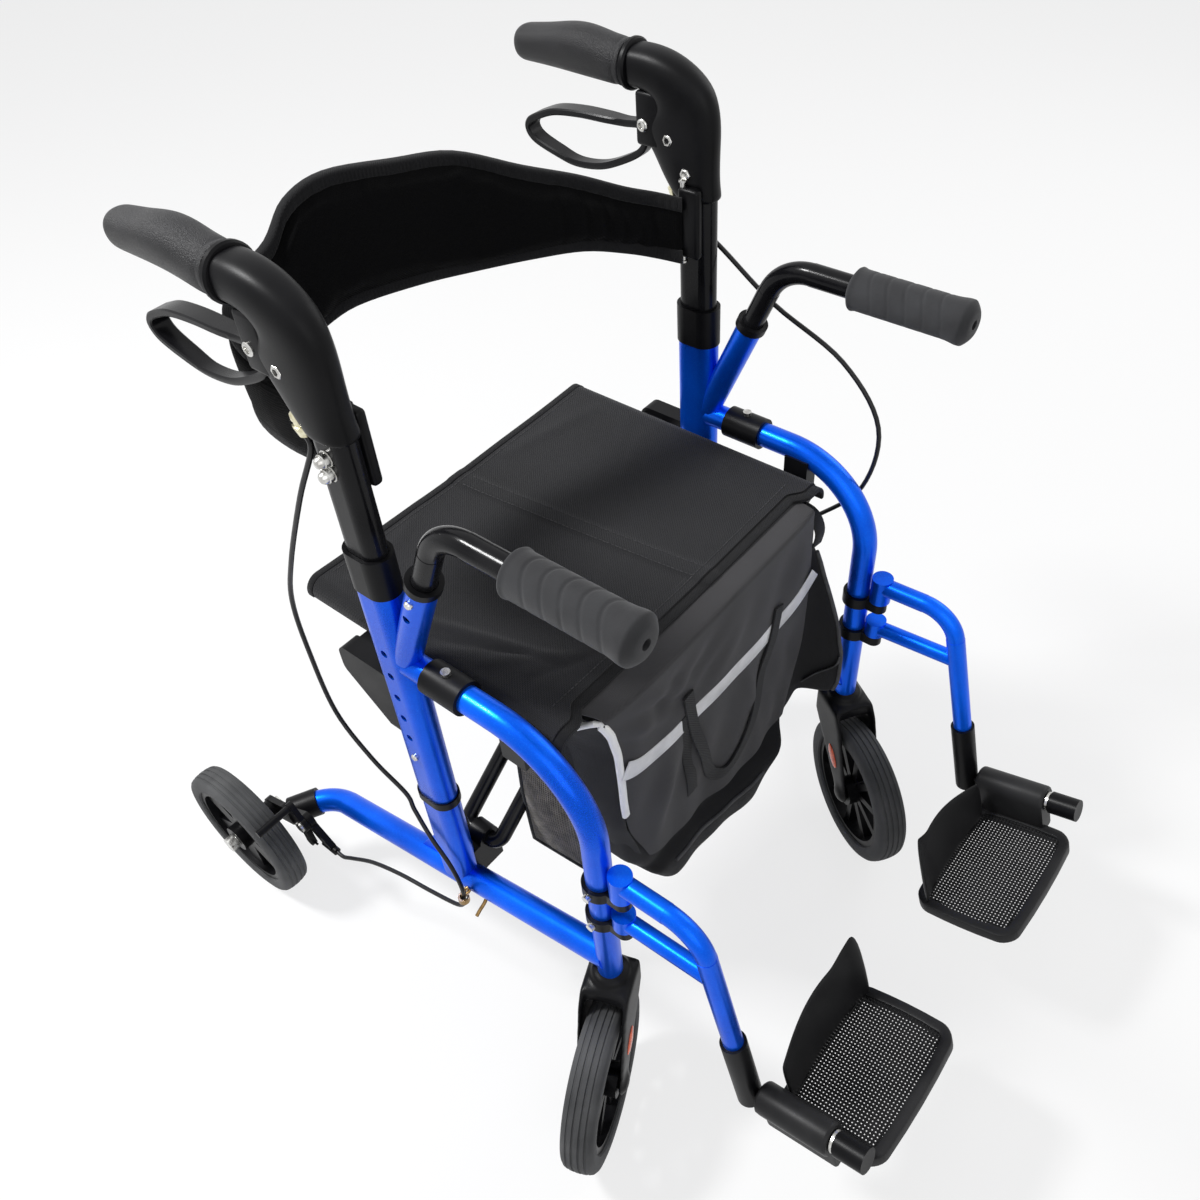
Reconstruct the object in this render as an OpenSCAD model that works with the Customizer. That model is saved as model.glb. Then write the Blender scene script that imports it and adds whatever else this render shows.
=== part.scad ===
// Folding rollator transport chair: a four-wheeled walker with a seat and swing-away footrests.
// Millimetres. +Z is up, the front is towards -Y and the sitter's right side is towards -X.
// Side pieces are written once with x measured outward from the side frame, then placed left and right.

/* [Frame] */
// Middle plane to each side frame
frame_half = 229; // [222:1:245]
// Length of the flat part of the oval post
post_flat = 16; // [12:1:20]
// Top of the post
post_top = 640; // [630:1:650]
// Wall of the frame tubes
tube_wall = 2.1; // [1.6:0.1:3]
// Diameter of the arch and front upright
arch_d = 26; // [22:1:28]
// Height of the arch's upper rail
arch_z = 552; // [545:1:560]
// Bend radius of the arch
arch_bend = 100; // [70:5:120]
// Front upright, from the post's axis
upright_y = -220; // [-235:1:-210]
// Lower end of the front upright
upright_foot = 224; // [219:1:226]
// Diameter of the lower rail
rail_d = 30; // [26:1:32]
// Height of the lower rail under the post
rail_z = 188.5; // [180:0.5:195]
// Downward slope of the lower rail to the rear, in degrees
rail_pitch = 15.5; // [12:0.5:18]
// Straight rail behind the post
rail_run = 223; // [210:1:235]
// Bend radius at the rail's rear end
rail_bend = 65; // [50:1:80]
// Outward turn at the rail's rear end, in degrees
rail_turn = 54; // [45:1:60]

/* [Wheels] */
// Wheel diameter
wheel_d = 190; // [180:1:200]
// Tyre width
tyre_w = 36; // [30:1:40]
// Tyre height from rim to tread
tyre_h = 21; // [15:1:26]
// Axle diameter
axle_d = 12; // [8:1:14]
// Rear axle, from the post's axis
rear_axle_y = 316; // [305:1:330]
// Rear wheel's middle, outward from the side frame
rear_out = 95; // [90:1:105]
// Caster trail from stem to axle
trail = 60; // [50:1:65]
// Turn of the right caster, in degrees
right_turn = -67; // [-180:1:180]
// Turn of the left caster, in degrees
left_turn = -32; // [-180:1:180]
// Spokes in a rear wheel
rear_spokes = 6; // [4:1:8]
// Spokes in a front wheel
front_spokes = 10; // [6:1:14]

/* [Handles] */
// Half thickness of the oval handle tube
handle_r = 12; // [10:0.5:13]
// Lower end of the handle tube
handle_low = 400; // [380:1:405]
// Lowest height hole in the post
hole_z = 416; // [412:1:430]
// Distance between height holes
hole_pitch = 30; // [25:1:32]
// Number of height holes
hole_count = 6; // [4:1:7]
// Diameter of the lock buttons
button_d = 8; // [6:0.5:9]
// Height of the push grips
grip_z = 905; // [895:1:915]
// Diameter of the push grips
grip_d = 36; // [30:1:40]
// Length of the push grips
grip_l = 138; // [120:1:160]
// Brake lever pivot behind the post's axis
lever_y = 53; // [50:1:58]
// Brake lever pivot under the grip's middle line
lever_drop = 47; // [43:1:53]
// Width of the brake lever's band
lever_w = 12; // [10:0.5:13]
// Thickness of the brake lever's band
lever_t = 7; // [5:0.5:9]

/* [Armrests] */
// Forward tilt of the armrest socket, in degrees
arm_tilt = 23.5; // [20:0.5:27]
// Armrest tube diameter
arm_d = 22; // [19:1:24]
// Height of the armrest
arm_z = 752; // [740:1:765]
// Armrest grip diameter
arm_grip_d = 38; // [32:1:42]
// Armrest grip length
arm_grip_l = 118; // [100:1:130]

/* [Brace] */
// Diameter of the brace legs
brace_d = 18; // [15:1:20]
// Distance between the two legs of one brace
brace_gap = 50; // [46:1:54]
// Brace pivots and seat rails, inward from the side frame
pivot_in = 33; // [31:1:36]
// Height of the lower brace pivots
pivot_z = 232; // [228:1:240]
// Diameter of the seat rails
seat_rail_d = 22; // [19:1:24]
// Height of the seat rails
seat_rail_z = 525; // [518:1:530]

/* [Footrests] */
// Hanger tube diameter
hanger_d = 20; // [17:1:22]
// Height of the hanger's upper tube
hanger_z = 415; // [408:1:422]
// Footplate pivot axis in front of the post's axis
foot_y = -430; // [-440:1:-425]
// Footplate pivot height
foot_z = 196; // [190:1:205]
// Toe-up tilt of the footplate, in degrees
foot_pitch = 16; // [12:1:18]
// Footplate width
plate_w = 158; // [140:1:165]
// Footplate length
plate_l = 112; // [100:1:116]
// Footplate thickness
plate_t = 12; // [8:1:14]

/* [Soft goods] */
// Seat length, front to back
seat_l = 309; // [290:1:315]
// Seat cloth thickness
seat_t = 4; // [3:0.5:5]
// Sag of the seat between its rails
seat_sag = 7; // [2:1:12]
// Bag depth, front to back
bag_depth = 108; // [80:1:110]
// Padding thickness of the backrest strap
pad_t = 24; // [16:1:28]
// Brake cable diameter
cable_d = 5; // [4:0.5:6]

/* [Fits] */
// Radial clearance of turning fits
run_fit = 0.06; // [0.03:0.01:0.1]
// Radial clearance of sliding tubes
slide_fit = 0.4; // [0.3:0.05:0.6]
// Gap between faces that pass each other
face_gap = 0.5; // [0.4:0.1:1]

/* [Hidden] */
$fn = 48;
// Moves the drawing so that the origin lies under the middle of the whole outline
datum = [9, 56, 0];
blue = [0.02, 0.16, 0.82];
gloss_black = [0.05, 0.05, 0.06];
black = [0.08, 0.08, 0.09];
charcoal = [0.2, 0.2, 0.22];
grey = [0.42, 0.42, 0.43];
steel = [0.75, 0.76, 0.78];
far = 400;
bend_lap = 1;
bend_thin = 0.6;
bar_thin = 0.6;

// Derived frame sizes
post_r = handle_r + slide_fit + tube_wall;
post_half = post_flat / 2 + post_r;
collar_h = 42;
hole_d = button_d + 2 * run_fit;
arch_r = arch_d / 2;
rail_r = rail_d / 2;
rail_front = upright_y / cos(rail_pitch);
rail_corner = rail_run + rail_bend * tan(rail_turn / 2);
rail_tail = rail_bend * tan(rail_turn / 2);

// Derived wheel sizes
wheel_r = wheel_d / 2;
rim_r = wheel_r - tyre_h;
axle_r = axle_d / 2;
hub_w = tyre_w + 4;
hub_r = axle_r + 12;
fork_in = hub_w / 2 + 1;
fork_t = 5;
stem_r = arch_r - tube_wall - run_fit;

// Derived armrest sizes: the socket's top end and the depth that the tube goes in
socket_top = [-64, 676];
socket_l = 125;
arm_r = arm_d / 2;
arm_in = 52;
arm_button_s = 16;
arm_bend = 50;
arm_grip_front = -290;
arm_rise = (arm_z - socket_top.y) / cos(arm_tilt);

// Derived brace sizes
brace_half = frame_half - pivot_in;
brace_l = norm([2 * brace_half, seat_rail_z - pivot_z]);
brace_rise = atan2(seat_rail_z - pivot_z, 2 * brace_half);
brace_mid = (seat_rail_z + pivot_z) / 2;
brace_bend = 12;
brace_a_y = -9;
brace_b_y = 11;
pin_d = 8;
seat_front = -152;
wedge_y = post_half + 58;

// Derived footrest sizes
hanger_r = hanger_d / 2;
hanger_y = upright_y - arch_r - 13;
hanger_knee = [-330, hanger_z + 4];
hanger_toe = [-378, 225];
hanger_low_z = hanger_z - 65;
barrel_r = hanger_r + 1.5;
ear_r = 9;
clamp_h = 14;
rod_d = 10;
block_r = 16.5;
plate_drop = 30;
boot_r = hanger_r + 3;

// Derived handle sizes
lever_z = grip_z - lever_drop;
shell_t = 3.5;
shell_low = lever_z - 64;
bracket_t = 6;
elbow_r = 48;
grip_y = 76;
brake_pivot = [228, 143];
shoe_at = [243, 168];
brake_foot = [224, 112];
plate_x = 48;
plate_th = 8;
stop_y = 184;
stop_z = 113;
stop_x = 52;
barrel_l = 26;
barrel_at = [5, 31, lever_z - 46 - barrel_l];
hook_at = [24, -26, 186];
cable_tie_z = 300;
cable_fall = 486;

// Hand-chosen points of the two cables, in side coordinates; those over the tie follow the barrel's height
function hung(p) =
    p.z > cable_tie_z ?
        [p.x, p.y, cable_tie_z + (p.z - cable_tie_z) * (barrel_at.z - cable_tie_z) / cable_fall] : p;

right_cable = [
    [5, 31, 785], [5, 31, 770], [10, 62, 712], [12, 111, 617], [12, 138, 550],
    [12, 143, 476], [12, 134, 385], [12, 92, 336], [12, 46, 312], [16, 32, 298],
    [20.5, 8, 270], [21.5, -14, 240], [23, -26, 210], hook_at, [25, -24, 173],
    [27, -11, 162], [30, 30, 151], [34, 80, 142], [40, 125, 131], [48, 158, 118],
    [stop_x, stop_y - 12, stop_z], [stop_x, stop_y, stop_z]
];
left_cable = [
    [5, 31, 785], [5, 31, 772], [18, 14, 756], [22, -14, 736], [24, -76, 693],
    [24, -158, 655], [24, -205, 595], [24, -196, 515], [22, -150, 455], [20, -80, 390],
    [18, -48, 330], [20, -36, 290], [22, -30, 245], [23, -27, 210], hook_at,
    [25, -24, 173], [27, -11, 162], [30, 30, 151], [34, 80, 142], [40, 125, 131], [48, 158, 118],
    [stop_x, stop_y - 12, stop_z], [stop_x, stop_y, stop_z]
];

// Backrest strap: x and y of its middle line, and the heights of its lower and upper edges
// from the lever pivot.
// It was drawn for ends at strap_drawn, and is drawn out to where they meet their brackets.
strap_drawn = 205.6;
strap_half = frame_half - handle_r - bracket_t - 0.21 * pad_t - 1.1;
strap = [
    [-205.6, -2, -118, -50], [-209, 40, -122, -46], [-213, 84, -124, -42], [-208, 132, -122, -36],
    [-190, 166, -118, -28], [-160, 184, -113, -18], [-124, 189, -107, -7], [-98, 187, -101, 19],
    [-60, 178, -92, 30], [0, 158, -93, 23], [50, 136, -96, 16], [100, 103, -96, -8],
    [140, 72, -97, -25], [172, 44, -106, -42], [192, 22, -114, -50], [205.6, -2, -120, -56]
];

// Bag outline from top to bottom: height, right edge, left edge, front and rear
bag_front = -184;
bag = [
    [541, -172, 174, 6, 32], [520, -168, 176, 2, 30], [496, -162, 178, 0, 62],
    [470, -157, 188, -4, 96], [430, -152, 192, -8, 104], [335, -148, 192, -12, 108],
    [250, -138, 190, -14, 108], [222, -122, 150, -12, 106], [196, -106, 96, -8, 104],
    [160, -86, 66, 4, 100], [138, -62, 44, 16, 88]
];

// Placing

module at_left() translate(datum + [frame_half, 0, 0]) children();

module at_right() translate(datum) mirror([1, 0, 0]) translate([frame_half, 0, 0]) children();

module at_middle() translate(datum) children();

// Turns a drawing in the XY plane into the side view: x becomes Y, y becomes Z, z becomes X
module side_view() rotate([90, 0, 90]) children();

// Lies along the lower rail, y along it and z square to it
module along_rail() translate([0, 0, rail_z]) rotate([-rail_pitch, 0, 0]) children();

// Lies along the armrest socket, z up its axis from its top end
module along_arm() translate([0, socket_top.x, socket_top.y]) rotate([arm_tilt, 0, 0]) children();

// Lies along the footplate's pivot, y along the rod towards the rear
module along_foot() translate([0, foot_y, foot_z]) rotate([-foot_pitch, 0, 0]) children();

module at_left_caster() translate(datum + [frame_half, upright_y, 0]) rotate([0, 0, left_turn]) children();

module at_right_caster() translate(datum + [-frame_half, upright_y, 0]) rotate([0, 0, right_turn]) children();

// Shared shapes

function unit(v) = v / norm(v);

function turn_at(p, i) =
    let (u = p[i] - p[i - 1], v = p[i + 1] - p[i])
    atan2(u.x * v.y - u.y * v.x, u.x * v.x + u.y * v.y);

// Round bar from point a to point b
module rod(a, b, d) {
    v = b - a;
    translate(a)
        rotate([0, acos(v.z / norm(v)), atan2(v.y, v.x)])
            cylinder(h = norm(v), d = d);
}

// Round bar of diameter d along points in the XY plane, bent at a radius in each corner.
// With thin above 0 each bend is that much thinner and laps into the straights, so that slanted ones join.
module bent(p, rb, d, thin = 0) {
    n = len(p) - 1;
    cut = [for (i = [0:n]) i == 0 || i == n ? 0 : rb * tan(abs(turn_at(p, i)) / 2)];
    for (i = [0:n - 1]) {
        u = unit(p[i + 1] - p[i]);
        a = p[i] + u * cut[i];
        run = norm(p[i + 1] - p[i]) - cut[i] - cut[i + 1];
        if (run > 0.01)
            translate([a.x, a.y, 0])
                rotate([0, 90, atan2(u.y, u.x)])
                    cylinder(h = run, d = d);
    }
    for (i = [1:1:n - 1]) {
        u = unit(p[i] - p[i - 1]);
        t = turn_at(p, i);
        a = p[i] - u * cut[i];
        c = a + sign(t) * rb * [-u.y, u.x];
        a0 = atan2(a.y - c.y, a.x - c.x);
        lap = thin > 0 ? atan(bend_lap / rb) : 0;
        translate([c.x, c.y, 0])
            rotate([0, 0, min(a0, a0 + t) - lap])
                rotate_extrude(angle = abs(t) + 2 * lap)
                    translate([rb, 0])
                        circle(d = d - thin);
    }
}

// The same path with each end made longer
function longer(p, e) =
    let (n = len(p) - 1)
    [for (i = [0:n])
        i == 0 ? p[0] - e * unit(p[1] - p[0]) :
        i == n ? p[n] + e * unit(p[n] - p[n - 1]) : p[i]];

module bent_tube(p, rb, d, wall, thin = 0) {
    difference() {
        bent(p, rb, d, thin);
        bent(longer(p, 1), rb, d - 2 * wall, thin);
    }
}

// Oval with flat sides, r thick to each side
module oval(r) {
    square([2 * r, post_flat], center = true);
    for (s = [-1, 1])
        translate([0, s * post_flat / 2])
            circle(r = r);
}

module oval_bar(z0, z1, r) translate([0, 0, z0]) linear_extrude(z1 - z0) oval(r);

// Flat bar between two points, with round ends that stand a little proud of it
module bar(a, b, w) {
    v = b - a;
    translate(a)
        rotate(atan2(v.y, v.x))
            translate([0, -(w - bar_thin) / 2])
                square([norm(v), w - bar_thin]);
    for (p = [a, b])
        translate(p)
            circle(d = w);
}

module round_rect(w, l, r) {
    square([w - 2 * r, l], center = true);
    square([w, l - 2 * r], center = true);
    for (x = [-1, 1])
        for (y = [-1, 1])
            translate([x * (w / 2 - r), y * (l / 2 - r)])
                circle(r = r);
}

// Cylinder across the chair at a point of the side view, from x0 to x1
module cross_bar(p, x0, x1, d) translate([x0, p.x, p.y]) rotate([0, 90, 0]) cylinder(h = x1 - x0, d = d);

// Closed skin over rings that each have the same number of points
module loft(rings) {
    n = len(rings);
    m = len(rings[0]);
    polyhedron(
        points = [for (r = rings) each r],
        faces = concat(
            [for (i = [0:n - 2]) for (j = [0:m - 1])
                [i * m + j, i * m + (j + 1) % m, (i + 1) * m + (j + 1) % m]],
            [for (i = [0:n - 2]) for (j = [0:m - 1])
                [i * m + j, (i + 1) * m + (j + 1) % m, (i + 1) * m + j]],
            [[for (j = [m - 1:-1:0]) j]],
            [[for (j = [0:m - 1]) (n - 1) * m + j]]
        ),
        convexity = 8
    );
}

function blend_at(a, b, c, d, t) =
    0.5 * (2 * b + (c - a) * t + (2 * a - 5 * b + 4 * c - d) * t * t + (3 * b - a - 3 * c + d) * t * t * t);

// Smooth curve through the points, k pieces from each point to the next
function smooth(p, k) =
    let (n = len(p) - 1)
    [for (i = [0:n - 1]) for (j = [0:k - 1])
        blend_at(p[max(i - 1, 0)], p[i], p[i + 1], p[min(i + 2, n)], j / k), p[n]];

function along(p, i) = unit(p[min(i + 1, len(p) - 1)] - p[max(i - 1, 0)]);

// Cord with eight sides through hand-chosen points
module cord(p, d) {
    path = smooth(p, 4);
    loft([for (i = [0:len(path) - 1])
        let (t = along(path, i), u = unit([1, 0, 0] - t.x * t), v = cross(t, u))
        [for (a = [0:45:315]) path[i] + d / 2 * (cos(a) * u + sin(a) * v)]]);
}

// Frame

module rail_line(d) along_rail() rotate([90, 0, 0]) cylinder(h = far, d = d, center = true);

module upright_line(d) translate([0, upright_y, 0]) cylinder(h = arch_z, d = d);

module post() {
    difference() {
        union() {
            oval_bar(rail_z - rail_r, post_top, post_r);
            side_view()
                translate([0, 0, -3])
                    linear_extrude(6)
                        translate([0, rail_z])
                            polygon([[0, 0], [0, 58], [post_half, 58], [post_half + 46, -12]]);
        }
        oval_bar(0, far * 2, handle_r + slide_fit);
        rail_line(rail_d);
        along_rail()
            translate([-far / 2, -far / 2, -far])
                cube(far);
        for (i = [0:hole_count - 1])
            cross_bar([0, hole_z + i * hole_pitch], 0, far, hole_d);
    }
}

rail_path = [
    [rail_front, 0],
    [rail_corner, 0],
    [rail_corner, 0] + rail_tail * [cos(rail_turn), sin(rail_turn)]
];

// Lies in the plane of the rail's bend, x along the rail and y outward
module rail_plane() along_rail() rotate([180, 0, 90]) children();

module lower_rail() {
    difference() {
        rail_plane()
            bent_tube(rail_path, rail_bend, rail_d, tube_wall, bend_thin);
        upright_line(arch_d);
    }
}

module front_arch() {
    difference() {
        side_view()
            bent_tube(
                [[0, arch_z], [upright_y, arch_z], [upright_y, upright_foot]],
                arch_bend, arch_d, tube_wall
            );
        oval_bar(0, far * 2, post_r);
    }
}

module arm_socket() {
    difference() {
        along_arm()
            translate([0, 0, -socket_l])
                cylinder(h = socket_l, d = arm_d + 2 * (slide_fit + tube_wall));
        along_arm()
            translate([0, 0, -arm_in - 20])
                cylinder(h = far, d = arm_d + 2 * slide_fit);
        along_arm()
            for (s = [arm_button_s, arm_button_s + 26])
                cross_bar([0, -s], 0, far, hole_d);
        oval_bar(0, far * 2, post_r);
        translate([0, 0, arch_z])
            rotate([90, 0, 0])
                cylinder(h = far, d = arch_d);
    }
}

// Open saddle that carries a seat rail, between y0 and y1
module saddle(y0, y1, reach) {
    difference() {
        translate([-pivot_in - seat_rail_d / 2 - 3, y0, seat_rail_z - 22])
            cube([pivot_in + seat_rail_d / 2 + 3 - reach, y1 - y0, 19]);
        translate([-pivot_in, y0 - 1, seat_rail_z])
            rotate([-90, 0, 0])
                cylinder(h = y1 - y0 + 2, d = seat_rail_d + 2 * face_gap);
    }
}

module side_plastics(block_y) {
    // Post collar
    difference() {
        oval_bar(post_top, post_top + collar_h, post_r + 1.5);
        oval_bar(0, far * 3, handle_r + slide_fit);
    }
    // Armrest collar
    along_arm()
        difference() {
            cylinder(h = 8, d = arm_d + 10);
            translate([0, 0, -1])
                cylinder(h = 10, d = arm_d + 2 * slide_fit);
        }
    // Sleeve on the arch's upper rail
    difference() {
        translate([0, -42, arch_z])
            rotate([90, 0, 0])
                cylinder(h = 44, d = arch_d + 8);
        translate([0, 0, arch_z])
            rotate([90, 0, 0])
                cylinder(h = far, d = arch_d);
        arm_socket_outer();
    }
    // Rear saddle on a block behind the post
    difference() {
        union() {
            translate([-6, 0, seat_rail_z])
                side_view()
                    linear_extrude(20) {
                        translate([wedge_y - 14, -8])
                            circle(r = 12);
                        translate([wedge_y - 16, -22])
                            circle(r = 14);
                        polygon([
                            [0, 4], [wedge_y - 14, 4], [wedge_y - 2, -8], [wedge_y - 2, -22],
                            [wedge_y - 5, -31], [post_half + 4, -77], [0, -77]
                        ]);
                    }
            saddle(48, 74, 5);
        }
        oval_bar(0, far * 2, post_r);
        translate([-far / 2, -far + post_flat / 2, 0])
            cube([far, far, far * 2]);
    }
    // Front saddle under the arch's bend
    difference() {
        union() {
            saddle(-150, -122, 8);
            translate([-15, -150, seat_rail_z - 22])
                cube([18, 28, 46]);
        }
        side_view()
            bent([[0, arch_z], [upright_y, arch_z], [upright_y, upright_foot]], arch_bend, arch_d);
        above_arch();
    }
    // Cable tie ring on the post
    difference() {
        oval_bar(336, 346, post_r + 2);
        oval_bar(0, far * 2, post_r);
    }
    // Block that carries the lower brace pivot
    difference() {
        translate([0, block_y + 11, 0])
            rotate([90, 0, 0])
                linear_extrude(22) {
                    translate([-pivot_in, pivot_z])
                        circle(r = brace_d / 2 + 5);
                    translate([-pivot_in - brace_d / 2 - 5, rail_z - 2])
                        square([pivot_in + brace_d / 2 + 5, pivot_z - rail_z + 2]);
                }
        translate([-pivot_in, 0, pivot_z])
            rotate([90, 0, 0])
                cylinder(h = far, d = brace_d + 2 * run_fit, center = true);
        oval_bar(0, far * 2, post_r);
        rail_line(rail_d);
    }
}

module arm_socket_outer() {
    along_arm()
        translate([0, 0, -socket_l])
            cylinder(h = far, d = arm_d + 2 * (slide_fit + tube_wall) + 2);
}

// Everything over the middle line of the arch near its front saddle
module above_arch() {
    translate([-far / 2, -160, arch_z - 2])
        cube([far, 50, far]);
}

// Rear bracket, brake and cable stop

module rear_bracket() {
    tip = rail_tail;
    difference() {
        union() {
            rail_plane()
                translate([rail_corner + tip * cos(rail_turn), tip * sin(rail_turn), 0])
                    rotate([0, 90, rail_turn])
                        translate([0, 0, -12])
                            cylinder(h = 38, d = rail_d + 6);
            translate([plate_x, 0, 0])
                side_view()
                    linear_extrude(plate_th) {
                        bar([rear_axle_y, wheel_r], [281, 110], 32);
                        bar([281, 110], brake_pivot, 22);
                        bar(brake_pivot, [stop_y + 12, stop_z + 3], 14);
                    }
            cross_bar([rear_axle_y, wheel_r], plate_x, rear_out - hub_w / 2 - 1.5, 28);
            translate([stop_x, stop_y, stop_z])
                rotate([-90, 0, 0])
                    cylinder(h = 24, d = 10);
        }
        rail_plane()
            bent(rail_path, rail_bend, rail_d, bend_thin);
        cross_bar([rear_axle_y, wheel_r], 0, far, axle_d);
    }
}

module brake_arm() {
    x0 = plate_x + plate_th + face_gap;
    difference() {
        union() {
            translate([x0, 0, 0])
                side_view()
                    linear_extrude(7) {
                        bar(brake_pivot, shoe_at, 13);
                        bar(brake_pivot, brake_foot, 13);
                        translate(brake_pivot)
                            circle(r = 10);
                    }
            cross_bar(shoe_at, x0, rear_out + tyre_w / 2 - 2, 9.4);
            rod([x0 + 3.5, brake_foot.x, brake_foot.y], [x0 + 3.5, stop_y + 28.5, stop_z], 3);
        }
        cross_bar(brake_pivot, 0, far, pin_d + 2 * run_fit);
    }
}

// Cable hook under the lower rail
module cable_hook() {
    difference() {
        union() {
            translate(hook_at)
                cylinder(h = 8, d = cable_d + 8, center = true);
            rod(hook_at, [0, hook_at.y, rail_z - hook_at.y * tan(rail_pitch)], 4);
        }
        rail_line(rail_d);
        translate(hook_at)
            cylinder(h = 30, d = cable_d + 4, center = true);
    }
}

module side_hardware() {
    x0 = plate_x + plate_th;
    // Rear axle with its head and nut
    cross_bar([rear_axle_y, wheel_r], plate_x, rear_out + hub_w / 2 + 10, axle_d);
    cross_bar([rear_axle_y, wheel_r], plate_x - 5, plate_x, axle_d + 8);
    difference() {
        cross_bar([rear_axle_y, wheel_r], rear_out + hub_w / 2 + 1.5, rear_out + hub_w / 2 + 12, axle_d + 8);
        cross_bar([rear_axle_y, wheel_r], 0, rear_out + hub_w / 2 + 10, axle_d);
    }
    // Brake pivot bolt
    cross_bar(brake_pivot, x0, x0 + 8, pin_d);
    cross_bar(brake_pivot, x0 + 8, x0 + 11, pin_d + 7);
    // Screw in the sleeve on the upper rail
    translate([0, -64, arch_z + arch_r + 4])
        cylinder(h = 4, d = 9);
    // Screws through the hanger clamps
    for (z = clamp_z)
        cross_bar([upright_y, z + clamp_h / 2], arch_r + 4, arch_r + 8, 8);
    cable_hook();
}

clamp_z = [hanger_z - 36, hanger_low_z - 23];

module hanger_clamps() {
    for (z = clamp_z)
        difference() {
            translate([0, 0, z])
                linear_extrude(clamp_h) {
                    translate([0, upright_y])
                        circle(r = arch_r + 4);
                    translate([0, hanger_y])
                        circle(r = ear_r);
                    translate([-ear_r, hanger_y])
                        square([2 * ear_r, upright_y - hanger_y]);
                }
            upright_line(arch_d);
            translate([0, hanger_y, 0])
                cylinder(h = far * 2, d = pin_d + 2 * run_fit);
        }
}

// Domed button that pokes out through a hole along x
module button(x0, x1) {
    cross_bar([0, 0], x0, x1 - 1.5, button_d);
    translate([x1 - 1.5, 0, 0])
        rotate([0, 90, 0])
            cylinder(h = 1.5, d1 = button_d, d2 = button_d - 2);
}

module post_button() translate([0, 0, hole_z]) button(handle_r - 6, post_r + 3);

module arm_button() {
    along_arm()
        translate([0, 0, -arm_button_s])
            button(arm_r - 6, arm_r + slide_fit + tube_wall + 3);
}

// Wheels, drawn round the X axis at the origin

module tyre() {
    rotate([0, 90, 0])
        rotate_extrude($fn = 96)
            intersection() {
                translate([rim_r, -tyre_w / 2])
                    square([tyre_h + 1, tyre_w]);
                translate([wheel_r - tyre_w, 0])
                    circle(r = tyre_w);
            }
}

module rim(spokes, spoke_w, spoke_t) {
    rotate([0, 90, 0])
        difference() {
            union() {
                difference() {
                    cylinder(h = tyre_w - 8, r = rim_r, center = true, $fn = 96);
                    cylinder(h = tyre_w, r = rim_r - 7, center = true, $fn = 96);
                }
                for (i = [0:spokes - 1])
                    rotate([0, 0, i * 360 / spokes])
                        translate([hub_r - 1, -spoke_w / 2, -spoke_t / 2])
                            cube([rim_r - hub_r - 3, spoke_w, spoke_t]);
                cylinder(h = hub_w, r = hub_r, center = true);
            }
            cylinder(h = far, r = axle_r + run_fit, center = true);
        }
}

module at_rear_wheel() translate([rear_out, rear_axle_y, wheel_r]) children();

module at_front_wheel() translate([0, -trail, wheel_r]) children();

module caster_fork() {
    head = upright_foot - face_gap;
    difference() {
        union() {
            for (s = [-1, 1])
                translate([s * (fork_in + fork_t / 2) - fork_t / 2, 0, 0])
                    side_view()
                        linear_extrude(fork_t) {
                            translate([-trail, wheel_r])
                                circle(r = 15);
                            polygon([
                                [-trail - 14, wheel_r], [-trail + 14, wheel_r - 2], [22, head - 46],
                                [22, head - 8], [-28, head - 8], [-40, head - 26]
                            ]);
                        }
            translate([-fork_in - fork_t, -28, wheel_d + 6])
                cube([2 * (fork_in + fork_t), 50, head - wheel_d - 14]);
            translate([0, 0, head - 16])
                cylinder(h = 16, r = arch_r + 7);
            cylinder_from(head, head + 30, stem_r);
            cross_bar([-trail, wheel_r], -fork_in - fork_t - 3, fork_in + fork_t + 3, axle_d);
            for (s = [-1, 1])
                translate([s * (fork_in + fork_t + 2), 0, 0])
                    cross_bar([-trail, wheel_r], -2, 2, axle_d + 7);
        }
    }
}

module cylinder_from(z0, z1, r) translate([0, 0, z0]) cylinder(h = z1 - z0, r = r);

// Handles

module handle_tube() {
    difference() {
        oval_bar(handle_low, lever_z - 8, handle_r);
        oval_bar(handle_low - 1, lever_z, handle_r - 1.6);
        translate([0, -(button_d + 2) / 2, handle_low - 1])
            cube([far, button_d + 2, hole_z - handle_low + button_d]);
    }
}

// Space that the lever and its hub turn in
module lever_slot() {
    cross_bar([lever_y, lever_z], -7, 7, 36);
    translate([-7, lever_y - 8, lever_z - far / 2])
        cube([14, far, far / 2 + 14]);
}

module handle_shell() {
    difference() {
        union() {
            oval_bar(shell_low, lever_z, handle_r + shell_t);
            side_view()
                bent(
                    [[0, lever_z - 6], [0, grip_z], [grip_y, grip_z]],
                    elbow_r - 2, 2 * (handle_r + shell_t + 3)
                );
            translate([0, grip_y - 6, grip_z])
                rotate([-90, 0, 0])
                    cylinder(h = 6, d = grip_d + 8);
            side_view()
                translate([0, 0, -12])
                    linear_extrude(24) {
                        translate([0, lever_z])
                            polygon([[0, -46], [38, -46], [46, -12], [66, -8], [66, 34], [10, 34]]);
                        translate([lever_y, lever_z])
                            circle(r = 14);
                    }
        }
        oval_bar(0, lever_z - 8, handle_r);
        lever_slot();
        cross_bar([lever_y, lever_z], -far, far, 7 + 2 * run_fit);
    }
    // Bracket that the backrest strap is fixed to
    translate([-handle_r - bracket_t, -post_flat / 2, shell_low - 50])
        cube([bracket_t, post_flat, 48]);
}

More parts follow.
